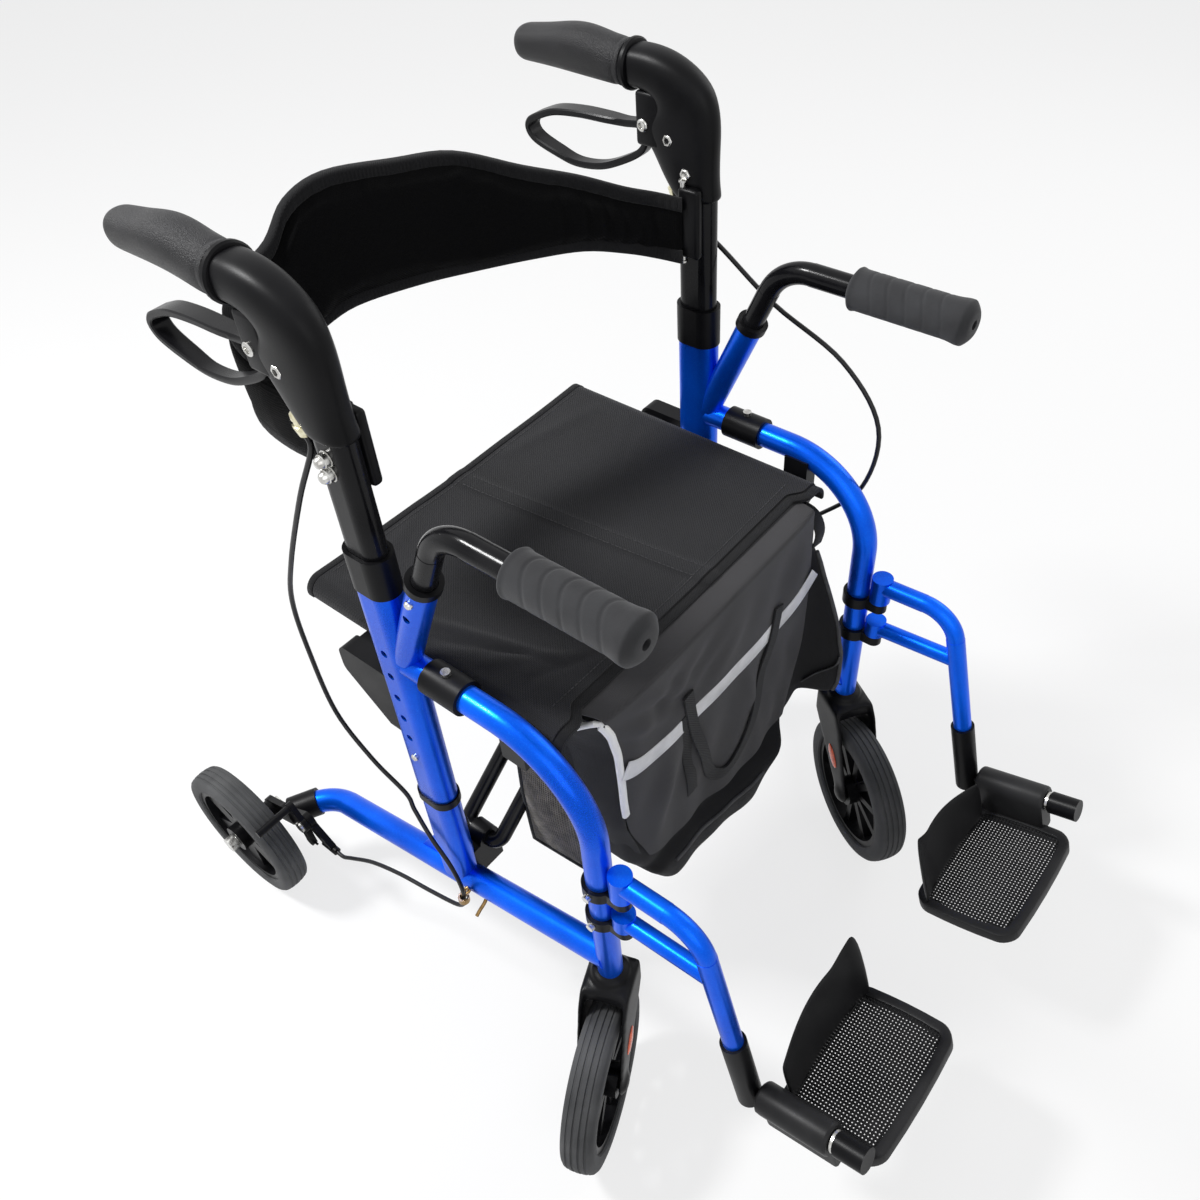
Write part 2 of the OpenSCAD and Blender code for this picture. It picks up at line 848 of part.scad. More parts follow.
module handle_hardware() {
    // Lever pivot with two heads
    cross_bar([lever_y, lever_z], -12, 12, 7);
    for (s = [-1, 1])
        cross_bar([lever_y, lever_z], s * 13.5 - 1.5, s * 13.5 + 1.5, 12);
    // Shell screw
    cross_bar([handle_r + shell_t + 8, lever_z - 8], 12, 15.5, 8);
    // Cable barrel under the shell
    translate(barrel_at)
        cylinder(h = barrel_l, d = 9);
}

// Grip with a palm swell: distance from its ring and diameter at each step
grip_swell = [[0, 1.06], [0.3, 1.2], [0.7, 1.06], [0.92, 0.98], [1, 0.6]];

module grip() {
    translate([0, grip_y, grip_z])
        rotate([-90, 0, 0])
            rotate_extrude()
                polygon(concat(
                    [[0, 0]],
                    [for (g = grip_swell) [g.y * grip_d / 2, g.x * grip_l]],
                    [[0, grip_l]]
                ));
}

lever_loop = [for (p = [[72, -10], [165, -11], [211, -35], [150, -61], [88, -38]]) p + [0, lever_z]];

// Closed band for the fingers on a hub
module brake_lever() {
    hub = [lever_y, lever_z];
    n = len(lever_loop);
    difference() {
        union() {
            cross_bar(hub, -lever_w / 2, lever_w / 2, 20);
            side_view()
                translate([0, 0, -lever_w / 2])
                    linear_extrude(lever_w) {
                        for (i = [0:n - 1])
                            bar(lever_loop[i], lever_loop[(i + 1) % n], lever_t);
                        bar(hub, lever_loop[0], 12);
                        bar(hub, lever_loop[n - 1], lever_t);
                    }
        }
        cross_bar(hub, -far, far, 7 + 2 * run_fit);
    }
}

// Armrests

module arm_tube() {
    low = socket_top + arm_in * [sin(arm_tilt), -cos(arm_tilt)];
    knee = socket_top + arm_rise * [-sin(arm_tilt), cos(arm_tilt)];
    difference() {
        side_view()
            bent_tube([low, knee, [arm_grip_front + 12, arm_z]], arm_bend, arm_d, 1.6, bend_thin);
        along_arm()
            translate([0, -(button_d + 2) / 2, -arm_in - 1])
                cube([far, button_d + 2, arm_in + 1 - arm_button_s + button_d]);
    }
}

module arm_grip() {
    difference() {
        translate([0, arm_grip_front, arm_z])
            rotate([-90, 0, 0]) {
                cylinder(h = 6, d1 = arm_grip_d, d2 = arm_grip_d + 9);
                translate([0, 0, 6])
                    cylinder(h = 16, d1 = arm_grip_d + 9, d2 = arm_grip_d);
                translate([0, 0, 22])
                    cylinder(h = arm_grip_l - 22, d = arm_grip_d);
            }
        translate([0, arm_grip_front + 12, arm_z])
            rotate([-90, 0, 0])
                cylinder(h = far, d = arm_d);
    }
}

// Footrests

module hanger() {
    low = clamp_z[1] + clamp_h + face_gap;
    high = clamp_z[0] + clamp_h + face_gap;
    t = (hanger_knee.y - hanger_low_z - 8) / (hanger_knee.y - hanger_toe.y);
    join = hanger_knee + t * (hanger_toe - hanger_knee);
    side_view()
        bent([[hanger_y, hanger_z], hanger_knee, hanger_toe], 40, hanger_d, bend_thin);
    rod([0, hanger_y, hanger_low_z], [0, join.x, join.y], hanger_d - 2);
    translate([0, hanger_y, 0]) {
        cylinder_from(high, hanger_z + barrel_r, barrel_r);
        cylinder_from(low, hanger_low_z + barrel_r, barrel_r);
        cylinder_from(clamp_z[0] - 2, high, pin_d / 2);
        cylinder_from(clamp_z[1] - 2, low, pin_d / 2);
    }
}

module foot_pivot() {
    v = unit(hanger_toe - hanger_knee);
    a = hanger_toe - 38 * v;
    b = hanger_toe + 56 * v;
    difference() {
        union() {
            rod([0, a.x, a.y], [0, b.x, b.y], 2 * boot_r);
            along_foot()
                translate([0, -86, 0])
                    rotate([-90, 0, 0])
                        cylinder(h = 128, d = rod_d);
            along_foot()
                translate([0, -87, 0])
                    rotate([-90, 0, 0])
                        cylinder(h = 30, d = 25);
        }
        rod([0, a.x, a.y] - [0, v.x, v.y], [0, hanger_toe.x, hanger_toe.y], hanger_d);
    }
}

module footplate() {
    rear = 27;
    inner = -11;
    along_foot()
        difference() {
            union() {
                translate([inner - plate_w / 2, rear - plate_l / 2, -plate_drop - plate_t])
                    linear_extrude(plate_t)
                        round_rect(plate_w, plate_l, 12);
                // Heel guard
                translate([inner - plate_w / 2 - 1, rear - 4, 0])
                    rotate([90, 0, 0])
                        linear_extrude(6)
                            translate([0, -plate_drop - 2 + 40]) {
                                round_rect(plate_w - 30, 80, 16);
                                translate([-plate_w / 2 + 15, -40])
                                    square([plate_w - 30, 40]);
                            }
                // Hinge block round the rod
                translate([0, rear - 1, 0])
                    rotate([90, 0, 0])
                        linear_extrude(78) {
                            circle(r = block_r);
                            translate([-block_r, -plate_drop - plate_t])
                                square([block_r + 6, plate_drop + plate_t]);
                        }
            }
            rotate([90, 0, 0])
                cylinder(h = far, d = rod_d + 2 * run_fit, center = true);
        }
}

// Folding brace

// Lies in the plane of a brace, x up its legs from the lower pivot and y along the chair
module brace_plane(s) {
    translate([-s * brace_half, 0, pivot_z])
        rotate([0, s > 0 ? -brace_rise : brace_rise - 180, 0])
            children();
}

module brace_legs(y, s) {
    y0 = y - brace_gap / 2;
    y1 = y + brace_gap / 2;
    brace_plane(s)
        bent([[brace_l, y0], [0, y0], [0, y1], [brace_l, y1]], brace_bend, brace_d);
    translate([s * brace_half, seat_front - 12, seat_rail_z])
        rotate([-90, 0, 0])
            cylinder(h = seat_l - 6, d = seat_rail_d);
}

module centre_pin(d) {
    translate([0, brace_a_y - brace_gap / 2 - 12, brace_mid])
        rotate([-90, 0, 0])
            cylinder(h = brace_gap + brace_b_y - brace_a_y + 24, d = d);
}

module brace_a_bars() {
    brace_legs(brace_a_y, 1);
    centre_pin(pin_d);
}

module brace_b_bars() {
    difference() {
        brace_legs(brace_b_y, -1);
        centre_pin(pin_d + 2 * run_fit);
    }
}

// Soft goods

// Sling seat: wrapped over both rails, sagging between them, tighter along its hemmed front and rear
module seat_cloth() {
    wrap_r = seat_rail_d / 2 + 0.4 + seat_t / 2;
    turns = [for (a = [170:-16:90]) a];
    loft([for (k = [0:8])
        let (
            tight = 1 - 0.45 * pow(k / 4 - 1, 4),
            wrap = [for (a = turns)
                [-brace_half + wrap_r * cos(a), seat_rail_z + wrap_r * sin(a), cos(a), sin(a)]],
            sag = seat_sag * tight,
            span = [for (i = [-5:5])
                [i * brace_half / 6, seat_rail_z + wrap_r - sag * (1 - pow(i / 6, 2)), 0, 1]],
            end = [for (i = [len(wrap) - 1:-1:0]) [-wrap[i].x, wrap[i].y, -wrap[i][2], wrap[i][3]]],
            line = concat(wrap, span, end),
            n = len(line) - 1
        )
        concat(
            [for (i = [0:n]) seat_point(line[i], k, 1)],
            [for (i = [n:-1:0]) seat_point(line[i], k, -1)]
        )]);
}

function seat_point(q, k, s) =
    [q.x + s * q[2] * seat_t / 2, seat_front + k * seat_l / 8, q.y + s * q[3] * seat_t / 2];

// Corner-rounded ring of twelve points between two x and two y values
function bag_ring(z, x0, x1, y0, y1) =
    let (r = min(14, (y1 - y0) / 3))
    [for (c = [[x1, y1, 0], [x0, y1, 90], [x0, y0, 180], [x1, y0, 270]]) for (a = [0, 45, 90])
        let (cx = c.x + (c.x > (x0 + x1) / 2 ? -r : r), cy = c.y + (c.y > (y0 + y1) / 2 ? -r : r))
        [cx + r * cos(c.z + a), cy + r * sin(c.z + a), z]];

module bag_body() {
    loft([for (b = [for (i = [len(bag) - 1:-1:0]) bag[i]])
        bag_ring(b[0], b[1], b[2], bag_front + b[3], bag_front + b[4] * bag_depth / 108)]);
}

module strap_pad() {
    path = [for (s = strap) [s.x * strap_half / strap_drawn, s.y, 0]];
    n = len(path) - 1;
    loft([for (i = [0:n])
        let (
            t = along(path, i),
            out = [t.y, -t.x, 0],
            thick = pad_t * (0.42 + 0.58 * sin(180 * i / n)) / 2,
            mid = (strap[i][2] + strap[i][3]) / 2,
            tall = (strap[i][3] - strap[i][2]) / 2
        )
        [for (a = [0:22.5:337.5])
            path[i] + out * thick * cos(a)
                + [0, 0, lever_z + mid + tall * sign(sin(a)) * pow(abs(sin(a)), 0.6)]]]);
}

// Sub-parts

module right_post() color(blue) at_right() post();
module right_lower_rail() color(blue) at_right() lower_rail();
module right_front_arch() color(blue) at_right() front_arch();
module right_arm_socket() color(blue) at_right() arm_socket();
module right_side_plastics() color(black) at_right() side_plastics(brace_a_y);
module right_rear_bracket() color(black) at_right() rear_bracket();
module right_hanger_clamps() color(black) at_right() hanger_clamps();
module right_brake_cable() color(black) at_right() cord([for (p = right_cable) hung(p)], cable_d);
module right_side_hardware() color(steel) at_right() side_hardware();
module right_post_button() color(steel) at_right() post_button();
module right_arm_button() color(steel) at_right() arm_button();
module right_rear_tyre() color(grey) at_right() at_rear_wheel() tyre();
module right_rear_rim() color(black) at_right() at_rear_wheel() rim(rear_spokes, 24, 16);
module right_caster_fork() color(black) at_right_caster() caster_fork();
module right_front_tyre() color(grey) at_right_caster() at_front_wheel() tyre();
module right_front_rim() color(black) at_right_caster() at_front_wheel() rim(front_spokes, 9, 14);
module right_handle_tube() color(gloss_black) at_right() handle_tube();
module right_handle_shell() color(black) at_right() handle_shell();
module right_handle_hardware() color(steel) at_right() handle_hardware();
module right_grip() color(charcoal) at_right() grip();
module right_brake_lever() color(black) at_right() brake_lever();
module right_brake_arm() color(steel) at_right() brake_arm();
module right_arm_tube() color(gloss_black) at_right() arm_tube();
module right_arm_grip() color(charcoal) at_right() arm_grip();
module right_hanger() color(blue) at_right() hanger();
module right_foot_pivot() color(black) at_right() foot_pivot();
module right_footplate() color(black) at_right() footplate();
module left_post() color(blue) at_left() post();
module left_lower_rail() color(blue) at_left() lower_rail();
module left_front_arch() color(blue) at_left() front_arch();
module left_arm_socket() color(blue) at_left() arm_socket();
module left_side_plastics() color(black) at_left() side_plastics(brace_b_y);
module left_rear_bracket() color(black) at_left() rear_bracket();
module left_hanger_clamps() color(black) at_left() hanger_clamps();
module left_brake_cable() color(black) at_left() cord([for (p = left_cable) hung(p)], cable_d);
module left_side_hardware() color(steel) at_left() side_hardware();
module left_post_button() color(steel) at_left() post_button();
module left_arm_button() color(steel) at_left() arm_button();
module left_rear_tyre() color(grey) at_left() at_rear_wheel() tyre();
module left_rear_rim() color(black) at_left() at_rear_wheel() rim(rear_spokes, 24, 16);
module left_caster_fork() color(black) at_left_caster() caster_fork();
module left_front_tyre() color(grey) at_left_caster() at_front_wheel() tyre();
module left_front_rim() color(black) at_left_caster() at_front_wheel() rim(front_spokes, 9, 14);
module left_handle_tube() color(gloss_black) at_left() handle_tube();
module left_handle_shell() color(black) at_left() handle_shell();
module left_handle_hardware() color(steel) at_left() handle_hardware();
module left_grip() color(charcoal) at_left() grip();
module left_brake_lever() color(black) at_left() brake_lever();
module left_brake_arm() color(steel) at_left() brake_arm();
module left_arm_tube() color(gloss_black) at_left() arm_tube();
module left_arm_grip() color(charcoal) at_left() arm_grip();
module left_hanger() color(blue) at_left() hanger();
module left_foot_pivot() color(black) at_left() foot_pivot();
module left_footplate() color(black) at_left() footplate();
module brace_a() color(gloss_black) at_middle() brace_a_bars();
module brace_b() color(gloss_black) at_middle() brace_b_bars();
module seat_fabric() color(black) at_middle() seat_cloth();
module bag() color(charcoal) at_middle() bag_body();
module backrest() color(black) at_middle() strap_pad();

right_post();
right_lower_rail();
right_front_arch();
right_arm_socket();
right_side_plastics();
right_rear_bracket();
right_hanger_clamps();
right_brake_cable();
right_side_hardware();
right_post_button();
right_arm_button();
right_rear_tyre();
right_rear_rim();
right_caster_fork();
right_front_tyre();
right_front_rim();
right_handle_tube();
right_handle_shell();
right_handle_hardware();
right_grip();
right_brake_lever();
right_brake_arm();
right_arm_tube();
right_arm_grip();
right_hanger();
right_foot_pivot();
right_footplate();
left_post();
left_lower_rail();
left_front_arch();
left_arm_socket();
left_side_plastics();
left_rear_bracket();
left_hanger_clamps();
left_brake_cable();
left_side_hardware();
left_post_button();
left_arm_button();
left_rear_tyre();
left_rear_rim();
left_caster_fork();
left_front_tyre();
left_front_rim();
left_handle_tube();
left_handle_shell();
left_handle_hardware();
left_grip();
left_brake_lever();
left_brake_arm();
left_arm_tube();
left_arm_grip();
left_hanger();
left_foot_pivot();
left_footplate();
brace_a();
brace_b();
seat_fabric();
bag();
backrest();
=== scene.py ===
import math

import bmesh
import bpy
from mathutils import Matrix, Vector


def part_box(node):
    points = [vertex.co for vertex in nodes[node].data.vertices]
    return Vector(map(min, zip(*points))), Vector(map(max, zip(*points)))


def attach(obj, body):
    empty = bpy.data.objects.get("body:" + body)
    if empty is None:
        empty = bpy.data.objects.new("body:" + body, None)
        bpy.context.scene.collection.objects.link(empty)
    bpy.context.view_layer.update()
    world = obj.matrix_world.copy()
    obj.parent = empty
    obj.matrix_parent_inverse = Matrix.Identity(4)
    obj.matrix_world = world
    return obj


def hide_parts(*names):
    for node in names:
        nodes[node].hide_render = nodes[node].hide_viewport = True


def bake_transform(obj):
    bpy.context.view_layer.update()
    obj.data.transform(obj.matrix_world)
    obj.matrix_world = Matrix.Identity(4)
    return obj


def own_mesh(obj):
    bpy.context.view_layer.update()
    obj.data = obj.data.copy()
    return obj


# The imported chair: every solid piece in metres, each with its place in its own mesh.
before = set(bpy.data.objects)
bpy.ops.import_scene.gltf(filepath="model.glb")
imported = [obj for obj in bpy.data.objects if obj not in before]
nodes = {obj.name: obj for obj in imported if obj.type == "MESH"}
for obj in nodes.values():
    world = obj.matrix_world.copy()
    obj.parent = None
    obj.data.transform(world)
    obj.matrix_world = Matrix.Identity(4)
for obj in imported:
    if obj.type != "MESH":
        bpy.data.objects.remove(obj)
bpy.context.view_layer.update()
bpy.ops.object.select_all(action="DESELECT")


# The view: from the front right and from above, close by, with the slight sideways tilt of the picture.
turn, rise, tilt = math.radians(-46.73), math.radians(44.91), math.radians(-5.33)
EYE = (-0.5776, -0.5336, 1.2603)
back = Vector((math.sin(turn) * math.cos(rise), -math.cos(turn) * math.cos(rise), math.sin(rise)))
level = Vector((math.cos(turn), math.sin(turn), 0))
right = level * math.cos(tilt) + back.cross(level) * math.sin(tilt)
camera = bpy.data.objects.new("camera", bpy.data.cameras.new("camera"))
camera.data.lens = 32.43
camera.data.sensor_width = 36
camera.data.clip_start = 0.05
camera.matrix_world = Matrix((right, back.cross(right), back)).transposed().to_4x4()
camera.location = EYE
bpy.context.scene.collection.objects.link(camera)
bpy.context.scene.camera = camera
bpy.context.scene.view_settings.view_transform = "Standard"


# Studio: a plain pale floor, a pale room all round, a wide soft lamp above the rear and a fill in front.
FLOOR_SIZE, FLOOR_GAP, FLOOR_WHITE, SKY_STRENGTH = 60, 0.0006, 0.74, 0.36
bpy.ops.mesh.primitive_plane_add(size=FLOOR_SIZE, location=(0, 0, -FLOOR_GAP))
floor = bpy.context.object
floor.name = "floor"


def set_inputs(node, values):
    for socket, value in values.items():
        node.inputs[socket].default_value = value


def add_node(tree, kind, inputs=None, **settings):
    """A shader node with its settings, and the values of the inputs that nothing is linked to."""
    node = tree.nodes.new("ShaderNode" + kind)
    for name, value in settings.items():
        setattr(node, name, value)
    set_inputs(node, inputs or {})
    return node


def link_all(tree, links):
    """Links nodes, each link given as a node and its output, and a node and its input."""
    for source, output, target, entry in links:
        tree.links.new(source.outputs[output], target.inputs[entry])


def white_to_eye(tree, plain, bright, output, share):
    """Shows the eye, and mirrors, so much of a plain white in place of the lit surface."""
    rays = add_node(tree, "LightPath")
    looked_at = add_node(tree, "Math", operation="MAXIMUM")
    through = add_node(tree, "Math", operation="MAXIMUM")
    part = add_node(tree, "Math", {1: share}, operation="MULTIPLY")
    choose = add_node(tree, "MixShader")
    link_all(tree, ((rays, "Is Camera Ray", looked_at, 0), (rays, "Is Glossy Ray", looked_at, 1),
                    (looked_at, 0, through, 0), (rays, "Is Transmission Ray", through, 1),
                    (through, 0, part, 0), (part, 0, choose, 0), (plain, 0, choose, 1),
                    (bright, 0, choose, 2), (choose, 0, output, "Surface")))


pale = bpy.data.materials.new("pale_floor")
pale.use_nodes = True
matt = pale.node_tree.nodes["Principled BSDF"]
set_inputs(matt, {"Base Color": (0.9, 0.9, 0.9, 1), "Roughness": 0.8, "Specular IOR Level": 0.1})
white = add_node(pale.node_tree, "Emission")
white_to_eye(pale.node_tree, matt, white, pale.node_tree.nodes["Material Output"], FLOOR_WHITE)
floor.data.materials.append(pale)

room = bpy.data.worlds.new("pale_room")
room.use_nodes = True
sky = room.node_tree.nodes["Background"]
set_inputs(sky, {"Color": (0.97, 0.98, 1.0, 1), "Strength": SKY_STRENGTH})
walls = add_node(room.node_tree, "Background", {"Color": (1, 1, 1, 1)})
white_to_eye(room.node_tree, sky, walls, room.node_tree.nodes["World Output"], 1.0)
bpy.context.scene.world = room


def soft_lamp(name, place, aim, size, power):
    lamp = bpy.data.objects.new(name, bpy.data.lights.new(name, "AREA"))
    lamp.data.size = size
    lamp.data.energy = power
    lamp.location = place
    lamp.rotation_euler = (Vector(place) - Vector(aim)).to_track_quat("Z", "Y").to_euler()
    bpy.context.scene.collection.objects.link(lamp)


soft_lamp("key_lamp", (-1.1, 1.5, 2.9), (0, 0, 0.4), 0.5, 95)
soft_lamp("fill_lamp", (-1.6, -2.2, 2.0), (0, 0, 0.4), 2.2, 16)
soft_lamp("edge_lamp", (2.4, -0.6, 1.8), (0, 0, 0.5), 1.6, 16)


# Brake cables: a steel wire in a black plastic cover down each side, from the barrel under the handle to the
# stop at the rear wheel. Each hangs in a loose bow, tied at the post's ring and held by a hook on the rail.
SIDES = {"right": -1, "left": 1}
MIDDLE = Vector((0.009, 0.056, 0))
FRAME_HALF = 0.229


def at_side(point, side):
    """A point in millimetres, x outward from that side's frame, as a place on the chair."""
    out, along, up = (value / 1000 for value in point)
    return MIDDLE + Vector((SIDES[side] * (FRAME_HALF + out), along, up))


def smooth_line(points, steps, closed=False):
    """A soft curve through the points, with so many steps from each to the next."""
    points = [Vector(p) for p in points]
    count = len(points)
    spans = count if closed else count - 1

    def near(i):
        return points[i % count] if closed else points[min(max(i, 0), count - 1)]

    line = []
    for i in range(spans):
        a, b, c, d = near(i - 1), near(i), near(i + 1), near(i + 2)
        for k in range(steps):
            t = k / steps
            line.append(0.5 * (2 * b + (c - a) * t + (2 * a - 5 * b + 4 * c - d) * t * t
                               + (3 * b - a - 3 * c + d) * t ** 3))
    return line if closed else line + [points[-1]]


def pull(name, rings, closed=False):
    """A skin pulled ring by ring from a flat disc, closed at its ends or joined into a loop."""
    bpy.ops.object.select_all(action="DESELECT")
    bpy.ops.mesh.primitive_circle_add(vertices=len(rings[0]), fill_type="NGON")
    piece = bpy.context.object
    piece.name = piece.data.name = name
    bpy.ops.object.mode_set(mode="EDIT")
    shape = bmesh.from_edit_mesh(piece.data)
    for vert, place in zip(shape.verts, rings[0]):
        vert.co = place
    for before, ring in zip(rings, rings[1:]):
        bpy.ops.mesh.extrude_region_move()
        shape = bmesh.from_edit_mesh(piece.data)
        for vert in [v for v in shape.verts if v.select]:
            vert.co = ring[min(range(len(ring)), key=lambda j: (Vector(before[j]) - vert.co).length_squared)]
    if closed:
        ends = [f for f in shape.faces if len(f.verts) == len(ring) and len(ring) > 4]
        bmesh.ops.delete(shape, geom=ends, context="FACES_ONLY")
        for edge in shape.edges:
            edge.select = edge.is_boundary
        bmesh.update_edit_mesh(piece.data)
        bpy.ops.mesh.bridge_edge_loops()
    bmesh.update_edit_mesh(piece.data)
    bpy.ops.mesh.select_all(action="SELECT")
    bpy.ops.mesh.normals_make_consistent(inside=False)
    bpy.ops.object.mode_set(mode="OBJECT")
    return piece


def sweep(name, line, section, across, closed=False):
    """A bar of one cross-section along a line; the section's first axis lies as near to across as it can."""
    rings = []
    for i, point in enumerate(line):
        if closed:
            along = line[(i + 1) % len(line)] - line[i - 1]
        else:
            along = line[min(i + 1, len(line) - 1)] - line[max(i - 1, 0)]
        along = along.normalized()
        u = (across - along * across.dot(along)).normalized()
        v = along.cross(u)
        rings.append([point + u * a + v * b for a, b in section])
    return pull(name, rings, closed)


def disc(radius, count):
    return [(radius * math.cos(2 * math.pi * k / count), radius * math.sin(2 * math.pi * k / count))
            for k in range(count)]


def select_only(piece):
    bpy.ops.object.select_all(action="DESELECT")
    piece.select_set(True)
    bpy.context.view_layer.objects.active = piece


def smooth_shade(piece, angle=40):
    select_only(piece)
    bpy.ops.object.shade_smooth_by_angle(angle=math.radians(angle))
    return piece


def new_group(name, given, returned):
    """An empty node group with its sockets, each a name and a kind, and the nodes at its two ends."""
    group = bpy.data.node_groups.new(name, "ShaderNodeTree")
    for way, sockets in (("INPUT", given), ("OUTPUT", returned)):
        for socket, kind in sockets:
            group.interface.new_socket(socket, in_out=way, socket_type="NodeSocket" + kind)
    return group, group.nodes.new("NodeGroupInput"), group.nodes.new("NodeGroupOutput")


def mottle_group():
    """Shared effect: slow clouds of tone and fine grain, for colour, roughness and bump."""
    if "mottle" in bpy.data.node_groups:
        return bpy.data.node_groups["mottle"]
    numbers = [(name, "Float") for name in ("Clouds", "Grain", "Smooth", "Rough")]
    group, given, result = new_group(
        "mottle", [("Vector", "Vector"), *numbers, ("Dark", "Color"), ("Light", "Color")],
        [("Color", "Color"), ("Roughness", "Float"), ("Height", "Float")])
    clouds = add_node(group, "TexNoise", {"Detail": 4})
    grain = add_node(group, "TexNoise", {"Detail": 2})
    tone = add_node(group, "MapRange", {"From Min": 0.32, "From Max": 0.68})
    colour = add_node(group, "Mix", data_type="RGBA")
    both = add_node(group, "Math", {1: 0.5}, operation="MULTIPLY_ADD")
    rough = add_node(group, "MapRange", {"From Min": 0.45, "From Max": 1.05})
    for noise, scale in ((clouds, "Clouds"), (grain, "Grain")):
        link_all(group, ((given, "Vector", noise, "Vector"), (given, scale, noise, "Scale")))
    link_all(group, ((clouds, "Fac", tone, "Value"), (tone, "Result", colour, "Factor"),
                     (given, "Dark", colour, 6), (given, "Light", colour, 7),
                     (grain, "Fac", both, 0), (clouds, "Fac", both, 2), (both, 0, rough, "Value"),
                     (given, "Smooth", rough, "To Min"), (given, "Rough", rough, "To Max"),
                     (colour, 2, result, "Color"), (rough, "Result", result, "Roughness"),
                     (grain, "Fac", result, "Height")))
    return group


def finish(name, dark, light, smooth, rough, clouds=25, grain=900, bump=0.05, depth=0.0004,
           metallic=0.0, coat=0.0, sheen=0.0, gloss=0.18):
    """A material with mottled colour and roughness and a fine bump."""
    made = bpy.data.materials.new(name)
    made.use_nodes = True
    tree = made.node_tree
    shader = tree.nodes["Principled BSDF"]
    set_inputs(shader, {"Metallic": metallic, "Specular IOR Level": gloss, "Coat Weight": coat,
                        "Coat Roughness": 0.08, "Sheen Weight": sheen, "Sheen Roughness": 0.6})
    place = add_node(tree, "TexCoord")
    mottle = add_node(tree, "Group", {"Clouds": clouds, "Grain": grain, "Smooth": smooth, "Rough": rough,
                                      "Dark": (*dark, 1), "Light": (*light, 1)},
                      name="mottle", node_tree=mottle_group())
    raised = add_node(tree, "Bump", {"Strength": bump, "Distance": depth}, name="bump")
    link_all(tree, ((place, "Object", mottle, "Vector"), (mottle, "Color", shader, "Base Color"),
                    (mottle, "Roughness", shader, "Roughness"), (mottle, "Height", raised, "Height"),
                    (raised, "Normal", shader, "Normal")))
    return made


def dress(piece, material):
    """Gives a piece one material all over."""
    piece.data.materials.clear()
    piece.data.materials.append(material)
    return piece


cable_cover = finish("cable_cover", (0.005, 0.005, 0.006), (0.010, 0.010, 0.011), 0.26, 0.42, clouds=60,
                     gloss=0.3)
barrel = (5, 31, 785)
to_stop = [(24, -26, 186), (25, -24, 173), (27, -11, 162), (30, 30, 151), (34, 80, 142), (40, 125, 131),
           (48, 158, 118), (52, 172, 113), (52, 184, 113)]
cable_routes = {
    "right": [barrel, (5, 31, 770), (10, 62, 712), (12, 111, 617), (12, 138, 550), (12, 143, 476),
              (12, 134, 385), (12, 92, 336), (12, 46, 312), (16, 32, 298), (20.5, 8, 270), (21.5, -14, 240),
              (23, -26, 210), *to_stop],
    "left": [barrel, (5, 31, 772), (18, 14, 756), (22, -14, 736), (24, -76, 693), (24, -158, 655),
             (24, -205, 595), (24, -196, 515), (22, -150, 455), (20, -80, 390), (18, -48, 330),
             (20, -36, 290), (22, -30, 245), (23, -27, 210), *to_stop],
}
cable_blend = {"right": ((12, 92, 336), (5, 31, 775)), "left": ((20, -80, 390), (5, 31, 775))}
for side in SIDES:
    line = smooth_line([at_side(p, side) for p in cable_routes[side]], 7)
    cable = smooth_shade(sweep(side + "_cable", line, disc(0.0025, 12), Vector((1, 0, 0))))
    dress(cable, cable_cover)
    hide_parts(side + "_brake_cable")
    low, high = (at_side(p, side) for p in cable_blend[side])
    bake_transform(cable)


# Frame tubes: welded aluminium, powder-coated in a bright metallic blue under a clear lacquer.
# Fine flakes glint in the paint, and the colour lies a little deeper in some places than in others.
frame_paint = finish("frame_paint", (0.0006, 0.070, 0.62), (0.001, 0.125, 0.92), 0.24, 0.40, clouds=9,
                     grain=1600, bump=0.04, depth=0.0002, metallic=0.7, coat=0.07, gloss=0.1)
paint_tree = frame_paint.node_tree
flakes = add_node(paint_tree, "TexVoronoi", {"Scale": 1500})
glint = add_node(paint_tree, "Mix", {7: (0.01, 0.24, 1.0, 1)}, data_type="RGBA")
few = add_node(paint_tree, "MapRange", {"From Min": 0.62, "From Max": 1.0, "To Max": 0.4})
link_all(paint_tree, ((paint_tree.nodes["Texture Coordinate"], "Object", flakes, "Vector"),
                      (flakes, "Color", few, "Value"), (few, "Result", glint, "Factor"),
                      (paint_tree.nodes["mottle"], "Color", glint, 6),
                      (glint, 2, paint_tree.nodes["Principled BSDF"], "Base Color")))
for side in SIDES:
    for name in ("post", "lower_rail", "front_arch", "arm_socket", "hanger"):
        dress(nodes[side + "_" + name], frame_paint)


# Black tubes: the handle and armrest tubes, the folding brace and the seat rails, drawn aluminium in a
# glossy black coat whose tone and gloss vary faintly in clouds.
black_tube = finish("black_tube", (0.004, 0.004, 0.005), (0.009, 0.009, 0.010), 0.12, 0.3, clouds=30,
                    coat=0.07, gloss=0.1)
tubes = [side + name for side in SIDES for name in ("_handle_tube", "_arm_tube")]
for name in tubes + ["brace_a", "brace_b"]:
    dress(nodes[name], black_tube)


# Moulded fittings: collars, sleeves, saddles, pivot blocks, rear brackets and hanger clamps in matt black
# nylon with a fine spark-eroded grain, clamped or riveted on the tubes.
black_plastic = finish("black_plastic", (0.0025, 0.0025, 0.003), (0.006, 0.006, 0.007), 0.28, 0.48, clouds=18,
                       grain=1400, bump=0.14, depth=0.0003, gloss=0.12)


